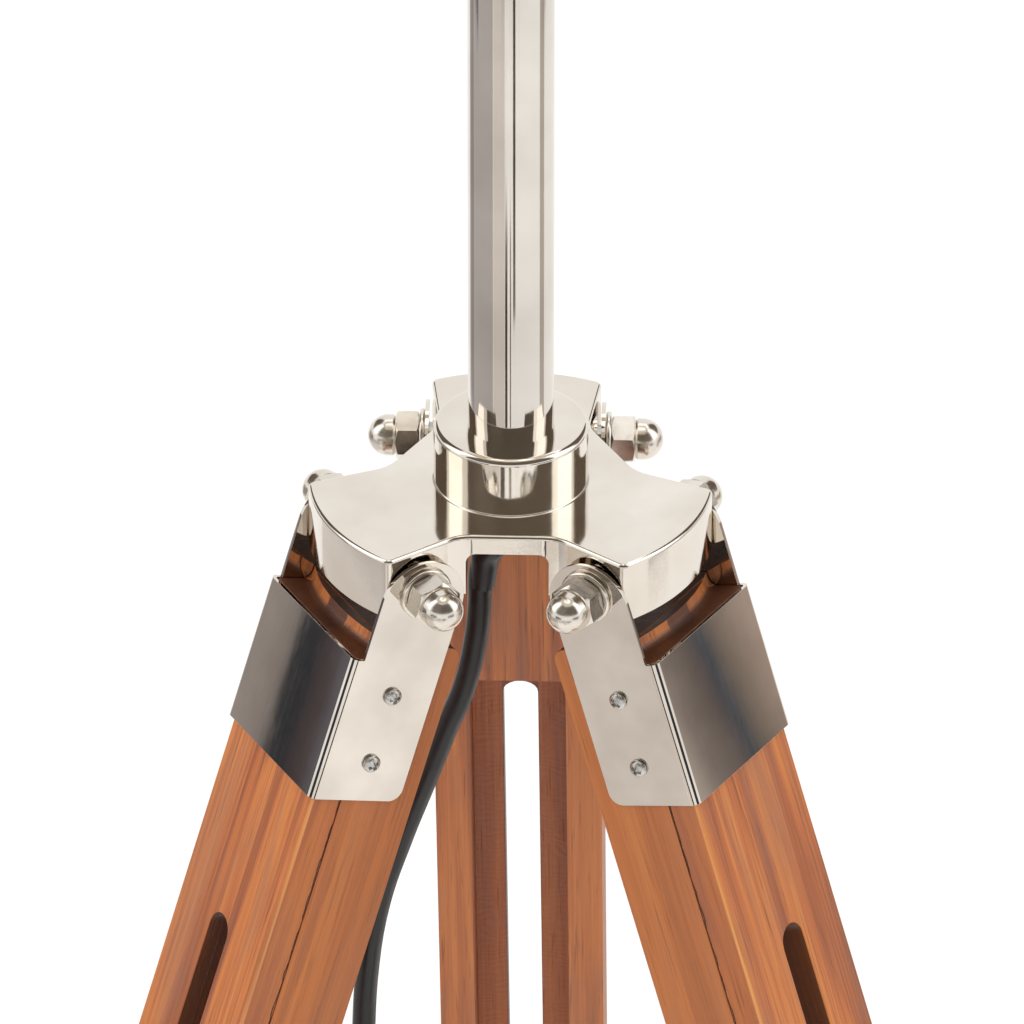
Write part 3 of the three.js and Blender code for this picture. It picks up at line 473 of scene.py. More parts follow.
def rounded(piece, width, segments=3, angle=32):  # every hard edge gets a small radius
    soft = piece.modifiers.new("edges", "BEVEL")
    soft.width, soft.segments, soft.limit_method = width * mm, segments, "ANGLE"
    soft.angle_limit = math.radians(angle)
    soft.miter_outer = "MITER_ARC"
    bpy.context.view_layer.update()
    return applied(piece)


def smoothed(piece, angle=34):
    piece.data.shade_smooth()
    piece.data.set_sharp_from_angle(angle=math.radians(angle))
    even = piece.modifiers.new("even shading", "WEIGHTED_NORMAL")
    even.keep_sharp = True
    return piece


def fitted(piece, finish, slot, body, *standsFor):
    piece.data.materials.clear()
    piece.data.materials.append(finish)
    if piece.type == "MESH":
        smoothed(piece)
    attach(piece, body)
    if standsFor:
        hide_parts(*standsFor)
    return piece


def softened(name, node, frameMatrix, width, segments=2):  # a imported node's own shape, with its edges eased
    source = frame["nodes"][node]
    bm = bmesh.new()
    bm.from_mesh(source.data)
    bmesh.ops.transform(bm, matrix=frameMatrix.inverted(), verts=bm.verts)
    bmesh.ops.remove_doubles(bm, verts=bm.verts, dist=0.002 * mm)
    bmesh.ops.dissolve_limit(bm, angle_limit=math.radians(0.6), verts=bm.verts, edges=bm.edges)
    bmesh.ops.scale(bm, vec=(1 / mm, 1 / mm, 1 / mm), verts=bm.verts)
    return rounded(meshObject(name, bm, frameMatrix), width, segments)


def sleeve(name, points, radii, steps=24):  # a round tube of changing thickness along points, in metres
    bm = bmesh.new()
    rows = []
    turns = [2 * math.pi * k / steps for k in range(steps)]
    for i, point in enumerate(points):
        ahead = points[min(i + 1, len(points) - 1)] - points[max(i - 1, 0)]
        turn = ahead.to_track_quat("Z", "Y").to_matrix()
        circle = [Vector((radii[i] * mm * math.cos(a), radii[i] * mm * math.sin(a), 0)) for a in turns]
        rows.append([bm.verts.new((point + turn @ spot) / mm) for spot in circle])
    for low, high in zip(rows, rows[1:]):
        for k in range(steps):
            bm.faces.new((low[k], low[(k + 1) % steps], high[(k + 1) % steps], high[k]))
    bm.faces.new(rows[0][::-1])
    bm.faces.new(rows[-1])
    return meshObject(name, bm)


# Mains cord: one lead from the bush to the plug
print("cord")
lead = {"diameter": 7.0, "length": 1.9, "coilCentre": (-155, 92), "turns": 3.43,
        "outerTurn": 41.5, "innerTurn": 34.5, "entryRadius": 48.8, "entryAngle": -110, "stepsPerTurn": 24}
leadRoute = [
    (-4.7, 0, 823.971), (-5.0, 0.1, 817.97), (-7.4, 1.5, 815), (-10, 3, 787), (-13.8, 5.2, 766), (-19, 8.2, 750),
    (-25.5, 12, 729), (-33, 16.3, 705), (-40, 20.4, 679), (-43.6, 22.4, 655), (-45.2, 23.4, 623), (-45.6, 23.8, 560),
    (-45.8, 24.2, 400), (-45.8, 24.2, 200), (-45.8, 24.2, 80), (-46.6, 24.6, 52), (-51.8, 27.6, 26),
    (-63.2, 33.6, 9.5), (-80, 39.6, 3.5), (-100, 41.5, 3.5), (-120, 40.2, 3.5), (-140, 39.6, 3.5), (-157, 41.4, 3.5)]
tailRoute = [(-159.3, 140.8, 3.5), (-142, 143.6, 3.5), (-124, 149.8, 3.5), (-108, 160.4, 3.5)]


def eased(value, start, end):  # 0 before start, 1 after end, smooth between
    t = min(max((value - start) / (end - start), 0), 1)
    return t * t * (3 - 2 * t)


def coilPoint(turn):  # two turns side by side on the floor, then up and out over them
    low, rise = lead["diameter"] / 2, lead["diameter"]
    radius = (lead["entryRadius"] + (lead["outerTurn"] - lead["entryRadius"]) * eased(turn, 0, 0.25)
              + (lead["innerTurn"] - lead["outerTurn"]) * (eased(turn, 1, 1.25) - eased(turn, 2.55, 2.8))
              + (lead["entryRadius"] + 0.4 - lead["outerTurn"]) * eased(turn, 3.2, 3.4))
    height = low + rise * (eased(turn, 1.74, 2.04) - eased(turn, 3.3, 3.43))
    angle = math.radians(lead["entryAngle"] - 360 * turn)
    centre = lead["coilCentre"]
    return (centre[0] + radius * math.cos(angle), centre[1] + radius * math.sin(angle), height)


turnCount = round(lead["turns"] * lead["stepsPerTurn"])
coilRoute = [coilPoint(lead["turns"] * i / turnCount) for i in range(turnCount + 1)]
leadPath = [Vector((x * mm + axisX, y * mm + axisY, z * mm)) for x, y, z in leadRoute + coilRoute + tailRoute[1:]]
leadCurve = bpy.data.curves.new("mains_lead", "CURVE")
leadCurve.dimensions = "3D"
leadCurve.bevel_depth = lead["diameter"] / 2 * mm
leadCurve.bevel_resolution = 6
leadCurve.resolution_u = 8
leadCurve.use_fill_caps = True
spline = leadCurve.splines.new("BEZIER")
spline.bezier_points.add(len(leadPath) - 1)
for spot, place in zip(spline.bezier_points, leadPath):
    spot.co = place
    spot.handle_left_type = spot.handle_right_type = "AUTO"
mainsLead = bpy.data.objects.new("mains_lead", leadCurve)
bpy.context.scene.collection.objects.link(mainsLead)
fitted(mainsLead, extrudedPvc, "cord_pvc", "stand", "mains_cord", "cord_coil", "plug_lead")

# Tapered relief where the lead leaves the bush, and another at the plug
reliefSize = {"radii": (4.7, 4.6, 4.5, 4.4, 4.25, 4.1, 3.95, 3.8, 3.65), "length": 22 * mm}


def reliefPath(points, count):  # evenly spaced places along the first stretch of a route
    walked, places, wanted = 0.0, [points[0].copy()], reliefSize["length"] / (count - 1)
    for a, b in zip(points, points[1:]):
        span = (b - a).length
        while len(places) < count and walked + span >= wanted * len(places):
            places.append(a.lerp(b, (wanted * len(places) - walked) / span))
        walked += span
    return places


bushRelief = sleeve("bush_strain_relief", reliefPath(leadPath, 9), reliefSize["radii"])
fitted(bushRelief, extrudedPvc, "black_plastic", "stand")
plugRadii = (6.2, 6.0, 5.6, 5.3, 5.0, 4.7, 4.4, 4.1, 3.8)
plugRoute = [Vector((place.x, place.y, radius * mm + 0.1 * mm))
             for place, radius in zip(reliefPath(leadPath[::-1], 9), plugRadii)]
plugRelief = sleeve("plug_strain_relief", plugRoute, plugRadii)
fitted(plugRelief, pressedPhenolic, "black_plastic", "stand")
plugFrame = (onAxis(0) @ Matrix.Translation((tailRoute[-1][0] * mm, tailRoute[-1][1] * mm, 0))
             @ Matrix.Rotation(math.atan2(12, 16), 4, "Z"))
plugBody = softened("mains_plug", "plug", plugFrame, 1.2, 4)
fitted(plugBody, pressedPhenolic, "black_plastic", "stand", "plug")

tieSize = {"angle": -20, "inner": 30.2, "outer": 45.8, "top": 15.0, "thick": 0.9, "corner": 3.4}


def tieOutline(grow):  # a rounded loop round the coil's section
    x0, x1 = tieSize["inner"] - grow, tieSize["outer"] + grow
    y0, y1 = 0.9 - grow, tieSize["top"] - 0.9 + grow
    r = tieSize["corner"] + grow
    return (arc(x1 - r, y0 + r, r, -90, 0) + arc(x1 - r, y1 - r, r, 0, 90)
            + arc(x0 + r, y1 - r, r, 90, 180) + arc(x0 + r, y0 + r, r, 180, 270))


tieFrame = (onAxis(0) @ Matrix.Translation((lead["coilCentre"][0] * mm, lead["coilCentre"][1] * mm, 0))
            @ Matrix.Rotation(math.radians(tieSize["angle"]), 4, "Z"))
coilTie = meshObject("coil_tie", prismMesh(tieOutline(tieSize["thick"]), -4.5, 4.5, "xz"), tieFrame)
boolean(coilTie, [prismMesh(tieOutline(0), -6, 6, "xz")])
fitted(rounded(coilTie, 0.25, 2), mouldedRubber, "boot_rubber", "stand")


# Pole
print("pole and casting")
pole = {"radius": 12.5, "threadRadius": 12, "thread": 16, "bore": 10.7, "edge": 0.8}
poleLength = (poleTop - hubTop) / mm
poleProfile = ([(pole["threadRadius"], -pole["thread"]), (pole["threadRadius"], 0.3), (pole["radius"], 0.3)]
               + arc(pole["radius"] - pole["edge"], poleLength - pole["edge"], pole["edge"], 0, 90, 5)
               + [(pole["bore"], poleLength), (pole["bore"], -pole["thread"])])
nickelPole = meshObject("nickel_pole", latheMesh(poleProfile, 128, ring=True), onAxis(hubTop))
fitted(nickelPole, drawnNickel, "nickel_plate", "stand", "pole_tube")

# Hub casting: heights from its flat top
hub = {"radius": 59, "depth": hubDepth / mm, "web": 6, "waist": 33.5, "halfWidth": 25, "flare": math.radians(7),
       "fillet": 4, "archHalf": 12, "archRadius": 3, "wall": 4, "pocketStart": 29, "recess": 22,
       "collar": 22.5, "collarEdge": 2.0, "collarFillet": 0.6, "edge": 1.2, "corner": 1.7, "boss": 7}


def turnedPoint(x, y, degrees):
    a = math.radians(degrees)
    return (x * math.cos(a) - y * math.sin(a), x * math.sin(a) + y * math.cos(a))


def flankAt(x):
    return hub["halfWidth"] - (endOut - x) * math.tan(hub["flare"])


endOut = math.sqrt(hub["radius"] ** 2 - hub["halfWidth"] ** 2)
rootOut = ((hub["waist"] - flankAt(0) * math.sin(math.pi / 3))
           / (0.5 + math.tan(hub["flare"]) * math.sin(math.pi / 3)))


def hubOutline():
    points = []
    endAngle = math.degrees(math.asin(hub["halfWidth"] / hub["radius"]))
    angles = list(sides.values())
    for i, angle in enumerate(angles):
        after = angles[(i + 1) % 3]
        points += arc(0, 0, hub["radius"], angle - endAngle, angle + endAngle, 20)
        root = Vector(turnedPoint(rootOut, flankAt(rootOut), angle))
        afterRoot = Vector(turnedPoint(rootOut, -flankAt(rootOut), after))
        reach = rootOut + hub["fillet"]
        alongWaist = (afterRoot - root).normalized() * hub["fillet"]
        for a, b, c in ((Vector(turnedPoint(reach, flankAt(reach), angle)), root, root + alongWaist),
                        (afterRoot - alongWaist, afterRoot, Vector(turnedPoint(reach, -flankAt(reach), after)))):
            for k in range(9):
                t = k / 8
                points.append(a * (1 - t) ** 2 + b * 2 * t * (1 - t) + c * t ** 2)
    return cornersEased([Vector(point) for point in points])


def cornersEased(points):  # sharp turns of an outline become short curves
    points = [p for i, p in enumerate(points) if (p - points[i - 1]).length > 0.05]
    eased2d = []
    for i, here in enumerate(points):
        back, ahead = points[i - 1] - here, points[(i + 1) % len(points)] - here
        if math.pi - back.angle(ahead) < math.radians(30):
            eased2d.append(here)
            continue
        a, c = here + back.normalized() * hub["corner"], here + ahead.normalized() * hub["corner"]
        for k in range(7):
            t = k / 6
            eased2d.append(a * (1 - t) ** 2 + here * 2 * t * (1 - t) + c * t ** 2)
    return eased2d


def insetOutline(points, distance):  # the outline moved inward, corner by corner
    moved = []
    for i, here in enumerate(points):
        before, after = (here - points[i - 1]).normalized(), (points[(i + 1) % len(points)] - here).normalized()
        along = (before + after).normalized()
        inward = Vector((-along.y, along.x))
        moved.append(here + inward * distance / max(along.dot(before), 0.5))
    return moved


def platePrism():  # straight sides between two rounded edges
    outline, edge, foot = hubOutline(), hub["edge"], 0.6
    levels = [(foot * (1 - math.sin(a)), -hub["depth"] + foot * (1 - math.cos(a)))
              for a in (math.radians(90 * k / 4) for k in range(5))]
    levels += [(edge * (1 - math.cos(a)), -edge + edge * math.sin(a))
               for a in (math.radians(90 * k / 7) for k in range(8))]
    bm = bmesh.new()
    rows = [[bm.verts.new((p.x, p.y, z)) for p in insetOutline(outline, inset)] for inset, z in levels]
    for low, high in zip(rows, rows[1:]):
        for k in range(len(low)):
            j = (k + 1) % len(low)
            bm.faces.new((low[k], low[j], high[j], high[k]))
    bm.faces.new(rows[0][::-1])
    bm.faces.new(rows[-1])
    return bm


def collarLathe():  # filleted into the plate at its foot, rounded at its rim
    radius, fillet, edge, top = hub["collar"], hub["collarFillet"], hub["collarEdge"], collarHeight / mm
    sunk = 0.02
    foot = [(r, z - sunk) for r, z in arc(radius + fillet, fillet, fillet, 270, 180, 8)]
    return latheMesh([(0, -2), (radius + fillet, -2)] + foot + arc(radius - edge, top - edge, edge, 0, 90, 8)
                     + [(14.5, top), (13.4, top - 0.5), (0, top - 0.5)], 144)


def hubTools():
    tools = []
    floor = -hub["depth"] - 2
    half, r, web = hub["archHalf"], hub["archRadius"], hub["web"]
    archOutline = ([(-half, floor), (half, floor)] + arc(half - r, -web - r, r, 0, 90)
                   + arc(-half + r, -web - r, r, 90, 180))
    reach = hub["radius"] - hub["wall"]
    inside = hub["halfWidth"] - hub["wall"]
    endAngle = math.degrees(math.asin(inside / reach))
    start = hub["pocketStart"]
    pocketOutline = ([(start, -flankAt(start) + hub["wall"])] + arc(0, 0, reach, -endAngle, endAngle, 12)
                     + [(start, flankAt(start) - hub["wall"])])
    for angle in sides.values():
        arch = prismMesh(archOutline, 0, hub["radius"], "xz")
        bmesh.ops.rotate(arch, matrix=Matrix.Rotation(math.radians(angle - 30), 3, "Z"), verts=arch.verts)
        pocket = prismMesh(pocketOutline, floor, -web)
        bmesh.ops.rotate(pocket, matrix=Matrix.Rotation(math.radians(angle), 3, "Z"), verts=pocket.verts)
        tools += [arch, pocket]
    return tools + [rodMesh("z", hub["recess"], floor, -web, 96)]


castHub = meshObject("cast_hub", platePrism(), onAxis(hubTop))
bosses = []
for degrees in sides.values():
    boss = rodMesh("y", hub["boss"], 1 - hub["halfWidth"], hub["halfWidth"] - 1, 64)
    bmesh.ops.translate(boss, vec=(pivot["out"] / mm, 0, -pivot["drop"] / mm), verts=boss.verts)
    bmesh.ops.rotate(boss, matrix=Matrix.Rotation(math.radians(degrees), 3, "Z"), verts=boss.verts)
    bosses.append(boss)
boolean(castHub, bosses, "UNION")
boolean(castHub, hubTools())
boolean(castHub, [collarLathe()], "UNION")
fitted(castHub, buffedNickel, "nickel_plate", "stand", "hub_casting")

ringNut = softened("ring_nut", "pole_ring_nut", onAxis(hubTop), 0.6)
fitted(ringNut, barrelZinc, "zinc_steel", "stand", "pole_ring_nut")
bush = softened("lead_bush", "cord_bush", onAxis(hubTop), 0.3)
fitted(bush, pressedPhenolic, "black_plastic", "stand", "cord_bush")

# Cap brackets: heights along the leg
print("brackets and fasteners")
cap = {"sheet": 1.2, "cheekInner": 25.3, "cheekOuter": 26.5, "inner": 15.5, "outer": 16.7, "back": -13.9,
       "bend": 2.4, "end": 68.5, "earFront": 13.0, "earTop": 9.8, "ledge": 22.9, "corner": 4,
       "stud": 4.3, "screw": 1.9, "screws": (34, 56)}


def foldedCap(name, matrix):
    inner = cap["bend"] - cap["sheet"]
    bendX, outerY, innerY = cap["outer"] - cap["bend"], cap["cheekOuter"], cap["cheekInner"]
    wrap = ([(cap["back"], -outerY)] + arc(bendX, -outerY + cap["bend"], cap["bend"], -90, 0, 10)
            + arc(bendX, outerY - cap["bend"], cap["bend"], 0, 90, 10)
            + [(cap["back"], outerY), (cap["back"], innerY)]
            + arc(cap["inner"] - inner, innerY - inner, inner, 90, 0, 8)
            + arc(cap["inner"] - inner, -innerY + inner, inner, 0, -90, 8) + [(cap["back"], -innerY)])
    earRadius, earCentre = (cap["earFront"] - cap["back"]) / 2, (cap["earFront"] + cap["back"]) / 2
    side = ([(cap["back"] + cap["corner"], -cap["end"]), (cap["outer"] + 2, -cap["end"]),
             (cap["outer"] + 2, -cap["ledge"]), (cap["earFront"], -cap["ledge"])]
            + arc(earCentre, cap["earTop"] - earRadius, earRadius, 0, 180, 32)
            + arc(cap["back"] + cap["corner"], -cap["end"] + cap["corner"], cap["corner"], 180, 262, 8))
    piece = meshObject(name, prismMesh(wrap, -cap["end"] - 2, cap["earTop"] + 2), matrix)
    boolean(piece, [prismMesh(side, -30, 30, "xz")], "INTERSECT")
    holes = [rodMesh("y", cap["stud"], -30, 30)]
    for station in cap["screws"]:
        hole = rodMesh("y", cap["screw"], -30, 30)
        bmesh.ops.translate(hole, vec=(0, 0, -station), verts=hole.verts)
        holes.append(hole)
    return rounded(boolean(piece, holes), 0.22, 2, 40)


# Fasteners
acorn = {"flats": 13, "hex": 6.7, "height": 15, "dome": 6.1, "bore": 4.3, "boreDepth": 11}
washer = {"hole": 4.3, "radius": 8.0, "thick": 1.5}
screw = {"head": 2.7, "height": 2.0, "shank": 1.6, "length": 14, "slot": 0.55, "slotReach": 1.7, "slotDepth": 1.1}


def acornNut():  # seated at z = 0, its corners turned down to a cone as a real nut's are
    corner = acorn["flats"] / math.sqrt(3)
    hexagon = [turnedPoint(corner, 0, 60 * i) for i in range(6)]
    nut = meshObject("acorn_nut", prismMesh(hexagon, 0, acorn["hex"]))
    flat, top = acorn["flats"] / 2, acorn["hex"]
    cone = [(0, -1), (flat + 0.1, -1), (flat + 0.1, 0), (corner + 0.3, 0.85), (corner + 0.3, top - 0.85),
            (flat - 0.1, top), (flat - 0.1, top + 1), (0, top + 1)]
    boolean(nut, [latheMesh(cone, 64)], "INTERSECT")
    centre = acorn["height"] - acorn["dome"]
    dome = ([(0, 1), (acorn["dome"] - 0.5, 1), (acorn["dome"] - 0.5, top + 0.2), (acorn["dome"], top + 0.9)]
            + [(r, z) for r, z in arc(0, centre, acorn["dome"], 0, 90, 14)][1:-1] + [(0, acorn["height"])])
    boolean(nut, [latheMesh(dome, 64)], "UNION")
    boolean(nut, [rodMesh("z", acorn["bore"], -1, acorn["boreDepth"])])
    return rounded(nut, 0.2, 2, 25).data


def panScrew():  # a cross recess in a domed head, the shank inside the wood
    head = [(r, z) for r, z in arc(0, 0, 1, 0, 90, 8)]
    rim = 0.5
    profile = ([(0, -screw["length"]), (screw["shank"], 1 - screw["length"]), (screw["shank"], 0),
                (screw["head"], 0), (screw["head"], rim)]
               + [(r * screw["head"], rim + z * (screw["height"] - rim)) for r, z in head][1:-1]
               + [(0, screw["height"])])
    made = meshObject("pan_screw", latheMesh(profile, 48))
    w, reach, low = screw["slot"], screw["slotReach"], screw["height"] - screw["slotDepth"]
    plus = [(w, w), (w, reach), (-w, reach), (-w, w), (-reach, w), (-reach, -w), (-w, -w), (-w, -reach),
            (w, -reach), (w, -w), (reach, -w), (reach, w)]
    return rounded(boolean(made, [prismMesh(plus, low, 4)]), 0.12, 2, 35).data


def washerRing():
    hole, rim, thick = washer["hole"], washer["radius"], washer["thick"]
    profile = [(hole, 0), (rim - 0.4, 0), (rim, 0.4), (rim, thick - 0.4), (rim - 0.4, thick), (hole, thick)]
    return rounded(meshObject("washer", latheMesh(profile, 72, ring=True)), 0.15, 2).data


nutMesh, screwMesh, washerMesh = acornNut(), panScrew(), washerRing()
for stencil in [o for o in bpy.data.objects if o.name in ("acorn_nut", "pan_screw", "washer")]:
    bpy.data.objects.remove(stencil)


def placedCopy(name, mesh, matrix):
    made = bpy.data.objects.new(name, mesh.copy())
    bpy.context.scene.collection.objects.link(made)
    made.matrix_world = matrix
    return made


def spun(value):  # an uneven but fixed turn, as a spanner leaves each nut
    return (value * 47.0 + 13.0) % 60


leg = {"seat": 28.4, "cheekFace": 26.65, "washerSeat": 15.35, "clampStation": 410}
for number, side in enumerate(sides):
    upper, lower = f"upper_leg_{side}", f"lower_leg_{side}"
    here = legFrame(side)
    for name, node, width, segments, finish, slot, body in (
            ("teak_board", "face_board", 0.45, 2, planedTeak, "teak", upper),
            ("teak_rails", "rail_frame", 0.5, 2, sawnTeak, "dark_teak", upper),
            ("keeper", "keeper_plate", 0.4, 2, barrelZinc, "zinc_steel", upper),
            ("sliding_leg", "lower_leg", 0.8, 3, planedTeak, "teak", lower),
            ("rubber_boot", "foot_boot", 0.9, 3, mouldedRubber, "boot_rubber", lower),
            ("carriage_bolt", "clamp_bolt", 0.3, 2, barrelZinc, "zinc_steel", lower),
            ("lobed_knob", "clamp_knob", 0.5, 3, foldedNickel, "nickel_plate", f"clamp_knob_{side}")):
        piece = softened(f"{name}_{side}", f"{node}_{side}", here, width, segments)
        fitted(piece, finish, slot, body, f"{node}_{side}")
    bracket = foldedCap(f"folded_cap_{side}", here)
    fitted(bracket, foldedNickel, "nickel_plate", upper, f"cap_bracket_{side}")
    onBoard = (here @ Matrix.Translation((leg["washerSeat"] * mm, 0, -leg["clampStation"] * mm))
               @ Matrix.Rotation(math.pi / 2, 4, "Y"))
    knobWasher = placedCopy(f"knob_washer_{side}", washerMesh, onBoard)
    fitted(knobWasher, barrelZinc, "zinc_steel", lower)
    for hand, facing in (("a", 1), ("b", -1)):
        outward = Matrix.Rotation(-facing * math.pi / 2, 4, "X")
        turn = Matrix.Rotation(math.radians(spun(number * 2 + (facing > 0))), 4, "Z")
        seat = here @ Matrix.Translation((0, facing * leg["seat"] * mm, 0)) @ outward
        nut = placedCopy(f"domed_nut_{side}_{hand}", nutMesh, seat @ turn)
        fitted(nut, tumbledNickel, "nickel_plate", "stand", f"acorn_nut_{side}_{hand}")
        under = here @ Matrix.Translation((0, facing * leg["cheekFace"] * mm, 0)) @ outward
        fitted(placedCopy(f"nut_washer_{side}_{hand}", washerMesh, under), tumbledNickel, "nickel_plate", "stand")
        for place, station in enumerate(cap["screws"], 1):
            spot = here @ Matrix.Translation((0, facing * leg["cheekFace"] * mm, -station * mm)) @ outward
            turn = Matrix.Rotation(math.radians(spun(number * 5 + place * 3 + facing)), 4, "Z")
            driven = placedCopy(f"cross_screw_{side}_{hand}{place}", screwMesh, spot @ turn)
            fitted(driven, barrelZinc, "zinc_steel", upper, f"cap_screw_{side}_{hand}{place}")

# Lamp head: heights from the pole's top end
print("lamp head")
holder = {"radius": 19.5, "neck": 15, "flange": 23, "flangeLow": 30, "flangeHigh": 33, "height": 58, "socket": 14,
          "floor": 28, "plug": 10.4, "plugDepth": 10, "plugBore": 9, "groove": 0.7, "grooves": (40, 44, 48, 52),
          "edge": 0.8, "flangeEdge": 0.6, "shoulder": 13}
barrel, flange, edge = holder["radius"], holder["flange"], holder["edge"]
low, high, top, lip = holder["flangeLow"], holder["flangeHigh"], holder["height"], holder["flangeEdge"]
grooves = []
for height in holder["grooves"]:
    grooves += [(barrel, height - 0.9), (barrel - holder["groove"], height - 0.4),
                (barrel - holder["groove"], height + 0.4), (barrel, height + 0.9)]
holderProfile = ([(holder["plugBore"], -holder["plugDepth"]), (holder["plug"], -holder["plugDepth"]),
                  (holder["plug"], 0.3), (holder["neck"] - edge, 0.3), (holder["neck"], 1.0)]
                 + [(holder["neck"] + (barrel - holder["neck"]) * eased(k, 0, 8), 1 + holder["shoulder"] * k / 8)
                    for k in range(1, 9)]
                 + [(barrel, low - edge), (barrel + 0.5, low), (flange - lip, low), (flange, low + lip),
                    (flange, high - lip), (flange - lip, high), (barrel, high)] + grooves
                 + [(barrel, top - edge), (barrel - edge, top), (holder["socket"] + edge, top),
                    (holder["socket"], top - edge), (holder["socket"], holder["floor"]),
                    (holder["plugBore"], holder["floor"])])
lampSocket = meshObject("phenolic_lampholder", latheMesh(holderProfile, 96, ring=True), onAxis(poleTop))
fitted(lampSocket, pressedPhenolic, "black_plastic", "stand", "lampholder")
switch = softened("rotary_switch", "switch_knob", onAxis(poleTop) @ Matrix.Rotation(math.pi / 2, 4, "Y"), 0.5, 3)
fitted(switch, pressedPhenolic, "black_plastic", "switch_knob", "switch_knob")
retainer = {"bore": 19.8, "rim": 24.5, "rib": 25, "ribs": 6, "low": 35.2, "high": 41.7}
ringProfile = [(retainer["bore"], retainer["low"]), (retainer["rim"], retainer["low"])]
for k in range(retainer["ribs"]):
    low = retainer["low"] + k * (retainer["high"] - retainer["low"]) / retainer["ribs"]
    ringProfile += [(retainer["rib"], low + 0.1), (retainer["rib"], low + 0.75),
                    (retainer["rim"] - 0.1, low + 0.92)]
ringProfile += [(retainer["rim"], retainer["high"]), (retainer["bore"], retainer["high"])]
retaining = meshObject("shade_retaining_ring", latheMesh(ringProfile, 96, ring=True), onAxis(poleTop))
fitted(retaining, pressedPhenolic, "black_plastic", "stand", "shade_ring")

bulb = {"seat": 30, "radius": 30, "length": 97, "cap": 13, "capTop": 58, "throat": 8.2, "thread": 1.6,
        "threadStart": 38, "threadDepth": 0.4}
globeCentre, bulbTop = bulb["seat"] + bulb["length"] - bulb["radius"], bulb["seat"] + bulb["length"]
globeFoot = globeCentre - bulb["cap"] - bulb["throat"]
throat = [(bulb["cap"] + bulb["throat"] * eased(k, 0, 6), bulb["capTop"] + (globeFoot - bulb["capTop"]) * k / 6)
          for k in range(7)]
threads = [(bulb["cap"] - bulb["threadDepth"] * (1 - math.cos(k * math.pi)),
            bulb["threadStart"] + k * bulb["thread"]) for k in range(12)]
globe = [(r, z) for r, z in arc(0, globeCentre, bulb["radius"], -45, 90, 24)][1:-1]
bulbProfile = [(0, bulb["seat"]), (5, 30), (6, 31), (12.4, 36.5)] + threads + throat + globe + [(0, bulbTop)]
opalBulb = meshObject("opal_bulb", latheMesh(bulbProfile, 72), onAxis(poleTop))
fitted(opalBulb, blownOpal, "opal_glass", "stand", "bulb")

shade = {"bottom": 190, "top": 160, "height": 240, "wall": 1.5, "hem": 12, "fold": 0.35, "rows": 40}
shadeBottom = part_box("lampshade")[0].z


def shadeRadius(height):
    return shade["bottom"] + (shade["top"] - shade["bottom"]) * height / shade["height"]


def shadeMesh():  # the cloth with its turned hems standing a little proud at both ends
    outer, inner = [], []
    for k in range(shade["rows"] + 1):
        height = shade["height"] * k / shade["rows"]
        fromEnd = min(height, shade["height"] - height)
        proud = shade["fold"] * (1 - eased(fromEnd, shade["hem"] - 1.5, shade["hem"]))
        outer.append((shadeRadius(height) - 0.1 + proud, height))
        inner.append((shadeRadius(height) - shade["wall"], height))
    return latheMesh(outer + inner[::-1], 160, ring=True)


linenShade = meshObject("linen_shade", shadeMesh(), onAxis(shadeBottom))
fitted(rounded(linenShade, 0.4, 2, 60), plainLinen, "shade_linen", "stand", "lampshade")

carrier = {"wire": 2.0, "arm": 1.8, "ringHeight": 3.0, "bore": 19.8, "plate": 26,
           "plateLow": 14, "plateThick": 1.6}


def wireLoop(name, radius, height, wire):
    section = [(radius + wire * math.cos(math.radians(a)), height + wire * math.sin(math.radians(a)))
               for a in range(0, 360, 30)]
    return meshObject(name, latheMesh(section, 144, ring=True), onAxis(shadeBottom))


ringRadius = shadeRadius(5.0) - shade["wall"] - 0.3 - carrier["wire"]
lowerWire = wireLoop("shade_wire_lower", ringRadius, carrier["ringHeight"], carrier["wire"])
fitted(lowerWire, dippedEnamel, "white_wire", "stand", "shade_carrier")
upperRadius = shadeRadius(shade["height"] - 3) - shade["wall"] - 0.3 - carrier["wire"]
upperWire = wireLoop("shade_wire_upper", upperRadius, shade["height"] - 3, carrier["wire"])
fitted(upperWire, dippedEnamel, "white_wire", "stand")
plateLow, plateHigh = carrier["plateLow"], carrier["plateLow"] + carrier["plateThick"]
plateProfile = [(carrier["bore"], plateLow), (carrier["plate"], plateLow), (carrier["plate"], plateHigh),
                (carrier["bore"], plateHigh)]
fitterPlate = meshObject("shade_fitter", latheMesh(plateProfile, 96, ring=True), onAxis(shadeBottom))
fitted(rounded(fitterPlate, 0.3, 2), dippedEnamel, "white_wire", "stand")
for side, degrees in sides.items():
    inward, outward, foot = carrier["plate"] - 1.5, ringRadius, carrier["ringHeight"]
    bends = [(inward, plateLow + 0.8), (inward + 8, plateLow + 0.8), (inward + 14, plateLow - 0.2)]
    bends += [(outward + (inward - outward) * (1 - t) * 0.9 - 2, foot + (plateLow - 3.8) * (1 - t))
              for t in (0.1, 0.5, 0.9)] + [(outward, foot)]
    spine = [onAxis(shadeBottom) @ (Vector((*turnedPoint(r, 0, degrees), z)) * mm) for r, z in sorted(bends)]
    arm = sleeve(f"shade_arm_{side}", spine, [carrier["arm"]] * len(spine), 16)
    fitted(arm, dippedEnamel, "white_wire", "stand")

# Nodes that stay as packed get their finish
for name, finish in {"inner_lead": extrudedPvc, **{f"pivot_stud_{side}": barrelZinc for side in sides}}.items():
    kept = frame["nodes"][name]
    for place in range(len(kept.data.materials)):
        kept.material_slots[place].material = finish

